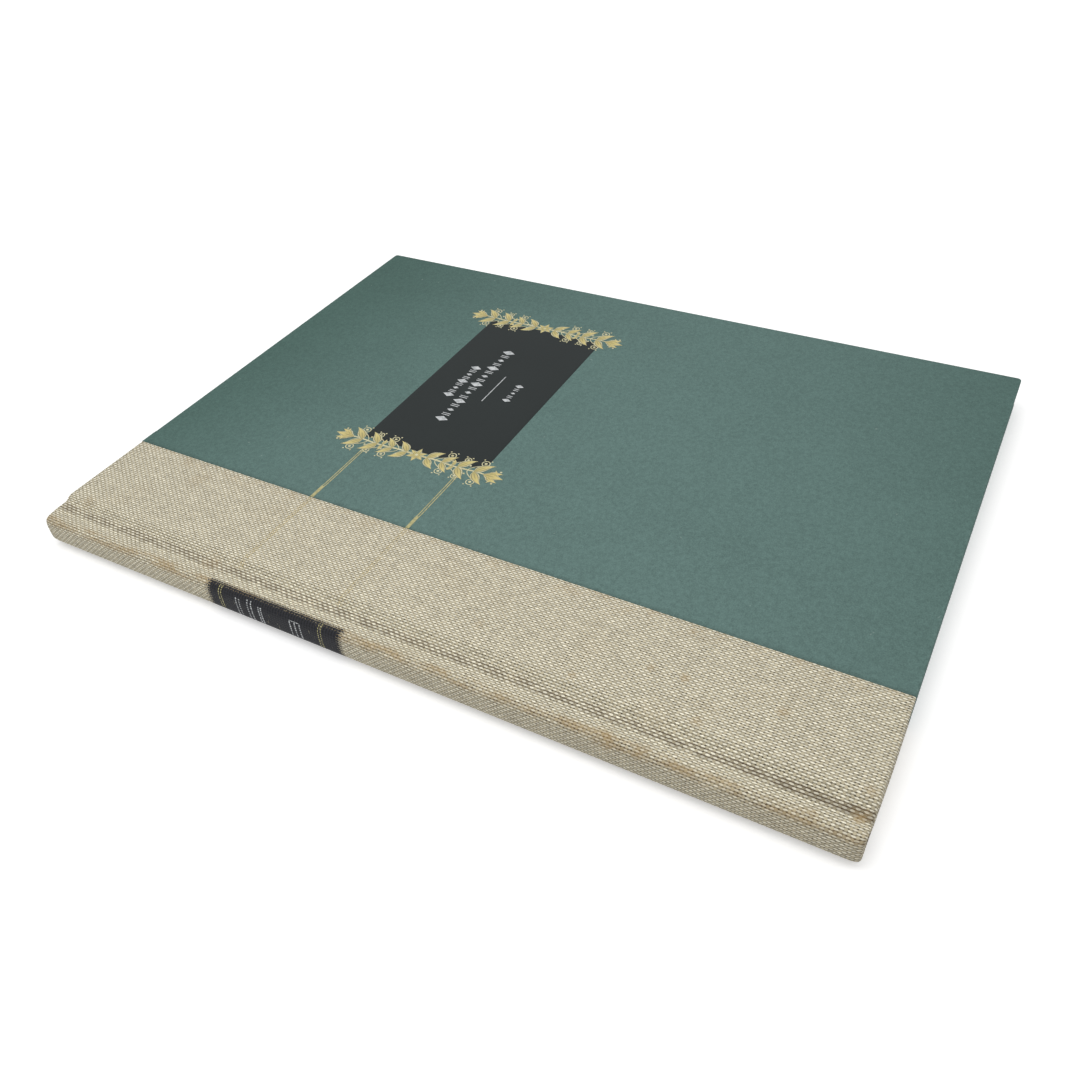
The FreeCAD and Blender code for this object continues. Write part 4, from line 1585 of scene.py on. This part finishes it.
@dataclass
class CoverBlocking:
    """Title panel, rules and silver marks on the front cover.

    Attributes:
        panel_rise: how far the panel's face stands on the paper.
        rule_width: width of one line of a rule.
        rule_gap: clear distance between a rule's two lines.
        rule_spread: distance of a rule's middle from the sprays' middle.
        mark_rise: how far the silver stands on the panel.
        lozenges: rows as (share of the panel's height, count, pitch, half size across, half
            size along), where the last three are shares of the panel's width.
        bars: rows of pairs of bars between them as (share of the height, count, pitch, half
            length in millimetres).
        small: size of every second lozenge, as a share of the others.
    """

    panel_rise: float = 0.02
    rule_width: float = 0.30
    rule_gap: float = 0.42
    rule_spread: float = 16.8
    mark_rise: float = 0.015
    lozenges: tuple[tuple[float, int, float, float, float], ...] = (
        (0.735, 5, 0.055, 0.030, 0.026), (0.61, 9, 0.068, 0.034, 0.030),
        (0.29, 3, 0.055, 0.024, 0.020))
    bars: tuple[tuple[float, int, float, float], ...] = (
        (0.735, 4, 0.055, 1.25), (0.61, 8, 0.068, 1.45), (0.29, 2, 0.055, 0.9))
    small: float = 0.55

    def panel(self, material: bpy.types.Material) -> bpy.types.Object:
        """Dark title panel: a face with a short bevelled rim on all sides."""
        low, high = box_mm("cover_label")
        a0, a1 = low[0] - BOOK.spine_line, high[0] - BOOK.spine_line
        ramp = np.array([0.0, 0.12])
        across = np.concatenate([a0 + ramp, np.linspace(a0 + 1, a1 - 1, 20), a1 - ramp[::-1]])
        along = np.concatenate([low[1] + ramp, np.linspace(low[1] + 1, high[1] - 1, 12),
                                high[1] - ramp[::-1]])
        grid_a, grid_y = np.meshgrid(across, along, indexing="ij")
        rim = (grid_a <= a0) | (grid_a >= a1) | (grid_y <= low[1]) | (grid_y >= high[1])
        depth = np.where(rim, 0.01, -self.panel_rise)
        patch = Patch(BOOK.place(grid_a, grid_y, depth), np.stack([grid_a, grid_y], -1))
        thing = make_object("title_panel", [patch])
        return settle_piece(thing, material, "cover_label", "front_cover")

    def rules(self, material: bpy.types.Material, middle: float) -> bpy.types.Object:
        """Two double gold rules from the cloth's edge to the near spray.

        The stretch over the cloth stands on the paper's ridge.

        Args:
            material: the gold foil's material.
            middle: place along of the sprays' middle.

        Returns:
            The finished piece.
        """
        low, high = box_mm("cover_rules_foil")
        start, end = low[0] - BOOK.spine_line + 0.05, high[0] - BOOK.spine_line + 3.6
        siding = GreenSiding()
        patches = []
        edge = BOOK.cloth_end
        across = np.concatenate([[start], np.linspace(edge - 0.4, edge + siding.ridge_fall, 8),
                                 [end]])
        lift = siding.ridge * (1 - smooth((across - edge + 0.3) / siding.ridge_fall))
        half = self.rule_width / 2
        offset = (self.rule_gap + self.rule_width) / 2
        share = np.array([-1.0, 1.0])
        for side in (-1, 1):
            for line in (-1, 1):
                place = middle + side * self.rule_spread + line * offset
                grid_y = place + half * share[None, :] + 0 * across[:, None]
                points = BOOK.place(across[:, None] + 0 * grid_y, grid_y,
                                    -(lift[:, None] + 0.03) + 0 * grid_y)
                places = pairs(0 * across[:, None], share[None, :])
                patches.append(Patch(points, places))
            tick = middle + side * self.rule_spread
            patches.append(flat_patch((start, edge + 0.1), (tick - offset - 0.2,
                                                            tick + offset + 0.2),
                                      -(siding.ridge + 0.02)))
        thing = make_object("cover_rules", patches, LEAF_UV)
        return settle_piece(thing, material, "cover_rules_foil", "front_cover")

    def marks(self, material: bpy.types.Material) -> bpy.types.Object:
        """Generic silver ornament in the title's place: rows of lozenges and a short rule."""
        low, high = box_mm("cover_label")
        middle = (low[0] + high[0]) / 2 - BOOK.spine_line
        width, height = high[0] - low[0], high[1] - low[1]
        depth = -(self.panel_rise + self.mark_rise)
        patches = []
        for share, count, pitch, half_across, half_along in self.lozenges:
            for index in range(count):
                across = middle + (index - (count - 1) / 2) * pitch * width
                small = self.small if index % 2 else 1.0
                patches.append(self.lozenge(across, low[1] + share * height,
                                            small * half_across * width / 2,
                                            small * half_along * width, depth))
        place = low[1] + 0.455 * height
        half = self.rule_width / 2
        patches.append(flat_patch((middle - 0.1 * width, middle + 0.1 * width),
                                  (place - half, place + half), depth))
        for share, count, pitch, tall in self.bars:
            for index in range(count):
                across = middle + (index - (count - 1) / 2) * pitch * width
                place = low[1] + share * height
                for side in (-0.42, 0.42):
                    patches.append(flat_patch((across + side - 0.16, across + side + 0.16),
                                              (place - tall, place + tall), depth))
        thing = make_object("title_marks", patches, LEAF_UV)
        return settle_piece(thing, material, "label_marks_foil",
                            "front_cover")

    def lozenge(self, across: float, along: float, half_a: float, half_y: float,
                depth: float) -> Patch:
        """Lozenge: a square turned by an eighth of a turn, stretched to its half sizes."""
        share = np.linspace(-1.0, 1.0, 2)
        u, v = np.meshgrid(share, share, indexing="ij")
        x = (u + v) / 2
        y = (v - u) / 2
        return Patch(BOOK.place(across + x * half_a, along + y * half_y, depth + 0 * x),
                     np.stack([u, v], -1))


@dataclass
class SpineBlocking:
    """Black label, gold rules and silver marks on the spine.

    Attributes:
        cloth: the cloth that they lie on.
        rise: how far the print stands on the cloth.
        tail_rule: distance of the tail rule's middle from the label's tail end.
        head_rule: the same at the head.
        rule_spread: distance of a rule's two lines from its middle.
        rule_half: half the width of one line.
        bars: pairs of bars as (place along, spread, ends round the spine).
        bar_half: half the width of a bar.
        square: ends along of the silver square.
    """

    cloth: CaseCloth
    rise: float = 0.02
    tail_rule: float = 6.6
    head_rule: float = 4.4
    rule_spread: float = 0.42
    rule_half: float = 0.14
    bars: tuple[tuple[float, float, tuple[float, float]], ...] = (
        (45.0, 2.2, (0.30, 0.72)), (41.0, 2.6, (0.22, 0.80)), (37.4, 1.6, (0.34, 0.68)))
    bar_half: float = 0.2
    square: tuple[float, float] = (24.1, 27.3)

    def patch(self, share: tuple[float, float], ends: tuple[float, float], lift: float,
              counts: tuple[int, int]) -> Patch:
        """Piece of the spine's surface.

        Args:
            share: start and end round the spine, from 0 at the back to 1 at the front.
            ends: tail and head end.
            lift: how far it stands on the cloth.
            counts: vertices round and along.

        Returns:
            The patch, facing outwards.
        """
        arc = self.cloth.spine_arc()
        turn, along = np.meshgrid(np.linspace(*share, counts[0]), np.linspace(*ends, counts[1]),
                                  indexing="ij")
        across, depth = self.cloth.spine_surface(turn, along, -lift + 0 * turn)
        round_mm = np.interp(turn, np.linspace(0.0, 1.0, len(arc)), arc)
        return Patch(BOOK.place(across, along, depth), np.stack([round_mm, along], -1))

    def label(self, material: bpy.types.Material) -> bpy.types.Object:
        """Black print round the spine."""
        low, high = box_mm("spine_label")
        patch = self.patch((0.02, 0.995), (low[1] - 0.8, high[1] + 0.8), self.rise, (40, 60))
        thing = make_object("spine_label_print", [patch])
        return settle_piece(thing, material, "spine_label", "book_block")

    def rules(self, material: bpy.types.Material) -> bpy.types.Object:
        """Double gold rules near both ends of the label."""
        low, high = box_mm("spine_label")
        patches = []
        for place in (low[1] + self.tail_rule, high[1] - self.head_rule):
            for line in (place - self.rule_spread, place + self.rule_spread):
                ends = line - self.rule_half, line + self.rule_half
                patches.append(self.patch((0.08, 0.94), ends, self.rise + 0.02, (36, 2)))
        thing = make_object("spine_rules", patches)
        return settle_piece(thing, material, "spine_rules_foil", "book_block")

    def marks(self, material: bpy.types.Material) -> bpy.types.Object:
        """Small silver bars and a square in the title's place on the spine."""
        patches = []
        lift, half = self.rise + 0.02, self.bar_half
        for place, size, share in self.bars:
            for side in (-1, 1):
                line = place + side * size / 4
                patches.append(self.patch(share, (line - half, line + half), lift, (20, 2)))
        low, high = self.square
        for line in (low, (low + high) / 2, high):
            patches.append(self.patch((0.36, 0.66), (line - half, line + half), lift, (14, 2)))
        for share in (0.36, 0.64):
            patches.append(self.patch((share, share + 0.025), self.square, lift, (2, 6)))
        thing = make_object("spine_marks", patches)
        return settle_piece(thing, material, "spine_marks_foil", "book_block")


@dataclass
class Endpapers:
    """The sheet glued to a cover's inner face, which goes over the joint to the pages.

    Attributes:
        thickness: of the sheet.
        set_back: distance of its edges from the cover's edges.
    """

    thickness: float = 0.13
    set_back: float = 3.0

    def build(self, side: Side, material: bpy.types.Material) -> bpy.types.Object:
        """Sheet of one cover.

        Its half height goes from the pages' to its own over the joint.

        Args:
            side: which cover.
            material: the paper's material.

        Returns:
            The finished piece, which reaches over that cover's joint.
        """
        fold_high = box_mm(f"{side.value}_endpaper_fold")[1]
        across = np.concatenate([np.linspace(BOOK.shoulder + 0.02, BOOK.board_start, 24),
                                 np.linspace(BOOK.board_start + 1, BOOK.width - self.set_back,
                                             40)])
        wide = BOOK.half_height - self.set_back
        half = fold_high[1] + (wide - fold_high[1]) * smooth((across - BOOK.board_start) / 0.8)
        share = np.linspace(-1.0, 1.0, 40)
        along = half[:, None] * share[None, :]
        grid_a = across[:, None] + 0 * along
        points = BOOK.place(grid_a, along, BOOK.cover_depth - 0.01 + 0 * along, side)
        places = np.stack([grid_a, along], -1)
        thing = make_object(f"{side.value}_endpaper",
                            [Patch(points, places, turned=side is Side.FRONT)])
        thicken(thing, self.thickness)
        dress(thing, material)
        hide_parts(f"{side.value}_pastedown", f"{side.value}_endpaper_fold")
        bend(thing, side)
        report(thing)
        return thing


@dataclass
class PageBlock:
    """The sewn pages as one block whose leaves show at three edges.

    Attributes:
        leaves: number of leaf steps through the thickness.
        uneven: how far a leaf's edge stands in, at most.
        waves: number of slow waves of the insets round the block.
        points: vertices along each of its four sides.
        seed: start of the random draws.
    """

    leaves: int = 44
    uneven: float = 0.10
    waves: int = 9
    points: int = 40
    seed: int = 18

    def build(self, material: bpy.types.Material) -> bpy.types.Object:
        """Make the block.

        Its outline is a rectangle, and every leaf step has its own small inset, which also
        changes slowly along the edge. The top and the bottom are closed to their middle.

        Args:
            material: the page edges' material.

        Returns:
            The finished piece.
        """
        low, high = box_mm("text_block")
        draw = np.random.default_rng(self.seed)
        inset = draw.uniform(0.0, self.uneven, self.leaves)
        levels = np.linspace(low[2], high[2], self.leaves + 1)
        heights = np.repeat(levels, 2)[1:-1]
        insets = np.repeat(inset, 2)
        corners = [(low[0], low[1]), (high[0], low[1]), (high[0], high[1]), (low[0], high[1])]
        loop = np.concatenate([np.linspace(corners[k], corners[(k + 1) % 4], self.points,
                                           endpoint=False) for k in range(4)])
        loop = np.concatenate([loop, loop[:1]])
        middle = np.array([(low[0] + high[0]) / 2, (low[1] + high[1]) / 2])
        away = loop - middle
        half = np.array([(high[0] - low[0]) / 2, (high[1] - low[1]) / 2])
        wave = 0.5 + 0.5 * np.sin(np.linspace(0, 2 * np.pi, len(loop)) * self.waves)
        cut = insets[None, :] * (0.6 + 0.4 * wave[:, None])
        spot = away[:, None, :] * (1 - cut[..., None] / half)
        spot[..., 0] = np.where(away[:, None, 0] <= -half[0] + 1e-6, away[:, None, 0],
                                spot[..., 0])
        ring = np.concatenate([0 * spot[:, :1], spot, 0 * spot[:, :1]], 1)
        level = np.concatenate([[low[2]], heights, [high[2]]])
        points = np.concatenate([ring + middle, np.broadcast_to(
            level[None, :, None], ring.shape[:2] + (1,))], -1) * MM
        places = ring[..., :2]
        thing = make_object("page_block", [Patch(points, places)], sharp=25, merge=1e-7)
        dress(thing, material)
        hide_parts("text_block")
        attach(thing, "book_block")
        report(thing)
        return thing


def dress_nodes(stocks: dict[str, bpy.types.Material]) -> None:
    """Give every CAD node that still shows the material of its stock."""
    for name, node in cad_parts.items():
        if node.hide_render:
            continue
        for key, material in stocks.items():
            if key in name:
                dress(node, material)
                LOG.info("%s keeps its CAD shape, in %s", name, material.name)
                break
        else:
            LOG.warning("%s has no finish", name)


@dataclass(frozen=True)
class Studio:
    """Camera, pale floor and soft light.

    Attributes:
        eye: the camera's place in metres.
        aim: the point it looks at.
        roll: how far it is turned clockwise, in degrees.
        lens: focal length for a 36 mm sensor.
        floor_size: side of the floor in metres.
        floor_drop: how far it lies under the back cover's board, for the paper's ridge.
    """

    eye: tuple[float, float, float] = (-0.20923, -0.12321, 0.18725)
    aim: tuple[float, float, float] = (-0.03949, -0.01841, 0.0115)
    roll: float = 4.675
    lens: float = 32.815
    floor_size: float = 6.0
    floor_drop: float = 0.00016

    def camera(self) -> None:
        """Set up the camera at the photograph's angle."""
        data = bpy.data.cameras.new("camera")
        data.lens = self.lens
        data.sensor_width = 36.0
        data.sensor_fit = "HORIZONTAL"
        data.clip_start = 0.005
        thing = link_object("camera", data)
        look = (Vector(self.aim) - Vector(self.eye)).to_track_quat("-Z", "Y")
        turn = Matrix.Rotation(-math.radians(self.roll), 4, "Z")
        thing.matrix_world = (Matrix.Translation(Vector(self.eye)) @ look.to_matrix().to_4x4()
                              @ turn)
        bpy.context.scene.camera = thing

    def seen(self, graph: Graph) -> bpy.types.NodeSocket:
        """Mask of the rays by which the camera sees something, also by mirror or through it."""
        ray = graph.add("ShaderNodeLightPath")
        seen = graph.math("MAXIMUM", ray.outputs["Is Camera Ray"], ray.outputs["Is Glossy Ray"])
        return graph.math("MAXIMUM", seen, ray.outputs["Is Transmission Ray"])

    def floor(self) -> None:
        """Lay a plain pale floor that looks white to the camera and keeps the shadow."""
        half = self.floor_size / 2
        place = np.array([-half, half])
        grid_x, grid_y = np.meshgrid(place, place, indexing="ij")
        points = np.stack([grid_x, grid_y, 0 * grid_x - self.floor_drop], -1)
        thing = make_object("floor", [Patch(points, points[..., :2])])
        material = bpy.data.materials.new("pale_floor")
        material.use_nodes = True
        graph = Graph(material.node_tree)
        shader = material.node_tree.nodes["Principled BSDF"]
        shader.inputs["Roughness"].default_value = 0.9
        shader.inputs["Specular IOR Level"].default_value = 0.1
        shader.inputs["Base Color"].default_value = (0.86, 0.86, 0.86, 1.0)
        seen = self.seen(graph)
        shader.inputs["Emission Color"].default_value = (1.0, 1.0, 1.0, 1.0)
        away = graph.vector("LENGTH", graph.object_mm())
        glow = graph.times_plus(graph.ramp(away, 160.0, 500.0), 0.4, 0.42)
        graph.feed(shader.inputs["Emission Strength"], graph.times(seen, glow))
        dress(thing, material)

    def world(self) -> None:
        """Light everything evenly, and show white to the camera."""
        world = bpy.data.worlds.new("studio")
        world.use_nodes = True
        bpy.context.scene.world = world
        graph = Graph(world.node_tree)
        seen = self.seen(graph)
        back = world.node_tree.nodes["Background"]
        back.inputs["Color"].default_value = (1.0, 1.0, 1.0, 1.0)
        graph.feed(back.inputs["Strength"], graph.times_plus(seen, 0.55, 0.45))

    def lamp(self, name: str, place: tuple[float, float, float], size: float,
             power: float) -> None:
        """Add a square soft light aimed at the book.

        Args:
            name: the light's name.
            place: its place in metres.
            size: its side in metres.
            power: its power in watts.
        """
        data = bpy.data.lights.new(name, "AREA")
        data.shape = "SQUARE"
        data.size = size
        data.energy = power
        thing = link_object(name, data)
        thing.location = place
        thing.rotation_euler = (-Vector(place)).to_track_quat("-Z", "Y").to_euler()

    def build(self) -> None:
        """Set up the whole studio."""
        self.camera()
        self.floor()
        self.world()
        self.lamp("soft_key", (-0.14, 0.03, 0.50), 0.30, 1.12)
        self.lamp("soft_fill", (0.5, -0.9, 1.4), 1.2, 4.0)
        bpy.context.scene.view_settings.view_transform = "Standard"


def main() -> None:
    """Build every piece of the book in order, then the studio."""
    logging.basicConfig(level=logging.INFO, format="%(name)s: %(message)s")
    cloth = BookCloth().build()
    back_cloth = BookCloth("back_cloth", marks=((12.0, 84.0, 5.0, 0.2), (30.0, -40.0, 6.0, 0.16),
                                                (3.0, -117.0, 3.0, 0.3)), rules=()).build()
    green = SidingPaper().build()
    panel_print = PanelPrint().build()
    pale_gold, thin_gold = (0.50, 0.46, 0.22), (0.32, 0.30, 0.15)
    pale_silver, thin_silver = (0.62, 0.64, 0.65), (0.34, 0.36, 0.37)
    gold_leaf = FoilBlock("gold_leaf", (0.66, 0.63, 0.40), (0.50, 0.46, 0.25),
                          Ground.LEAF).build()
    gold = FoilBlock("gold_rule", pale_gold, thin_gold).build()
    cloth_gold = FoilBlock("gold_on_cloth", pale_gold, thin_gold, Ground.CLOTH).build()
    silver = FoilBlock("silver_foil", pale_silver, thin_silver).build()
    cloth_silver = FoilBlock("silver_on_cloth", pale_silver, thin_silver, Ground.CLOTH).build()
    endpaper = PlainStock("endpaper", (0.78, 0.73, 0.62), 0.12).build()

    case = CaseCloth()
    case.build_spine(cloth)
    case.build_card(PlainStock("spine_card", (0.42, 0.39, 0.34), 0.4).build())
    for side in Side:
        case.build_cover(side, cloth if side is Side.FRONT else back_cloth)
        GreenSiding().build(side, green)
        Endpapers().build(side, endpaper)
    PageBlock().build(PageEdges().build())

    blocking = CoverBlocking()
    blocking.panel(panel_print)
    low, high = box_mm("near_garland_foil")
    blocking.rules(gold, (low[1] + high[1]) / 2)
    blocking.marks(silver)
    for node in ("near_garland_foil", "far_garland_foil"):
        LeafSpray(node).build(gold_leaf)
    spine = SpineBlocking(case)
    low, high = box_mm("spine_label")
    spine.label(ClothPrint(tail=low[1], head=high[1]).build())
    spine.rules(cloth_gold)
    spine.marks(cloth_silver)

    dress_nodes({
        "flyleaf": endpaper,
        "board": PlainStock("greyboard", (0.40, 0.37, 0.32), 0.5, 0.9, 0.06).build(),
        "mull": PlainStock("mull_gauze", (0.76, 0.72, 0.60), 0.5, 0.95, 0.08).build(),
        "lining": PlainStock("kraft_paper", (0.46, 0.33, 0.20), 0.35).build(),
        "band": HeadbandSilk().build(),
    })
    Studio().build()


if __name__ == "__main__":
    main()
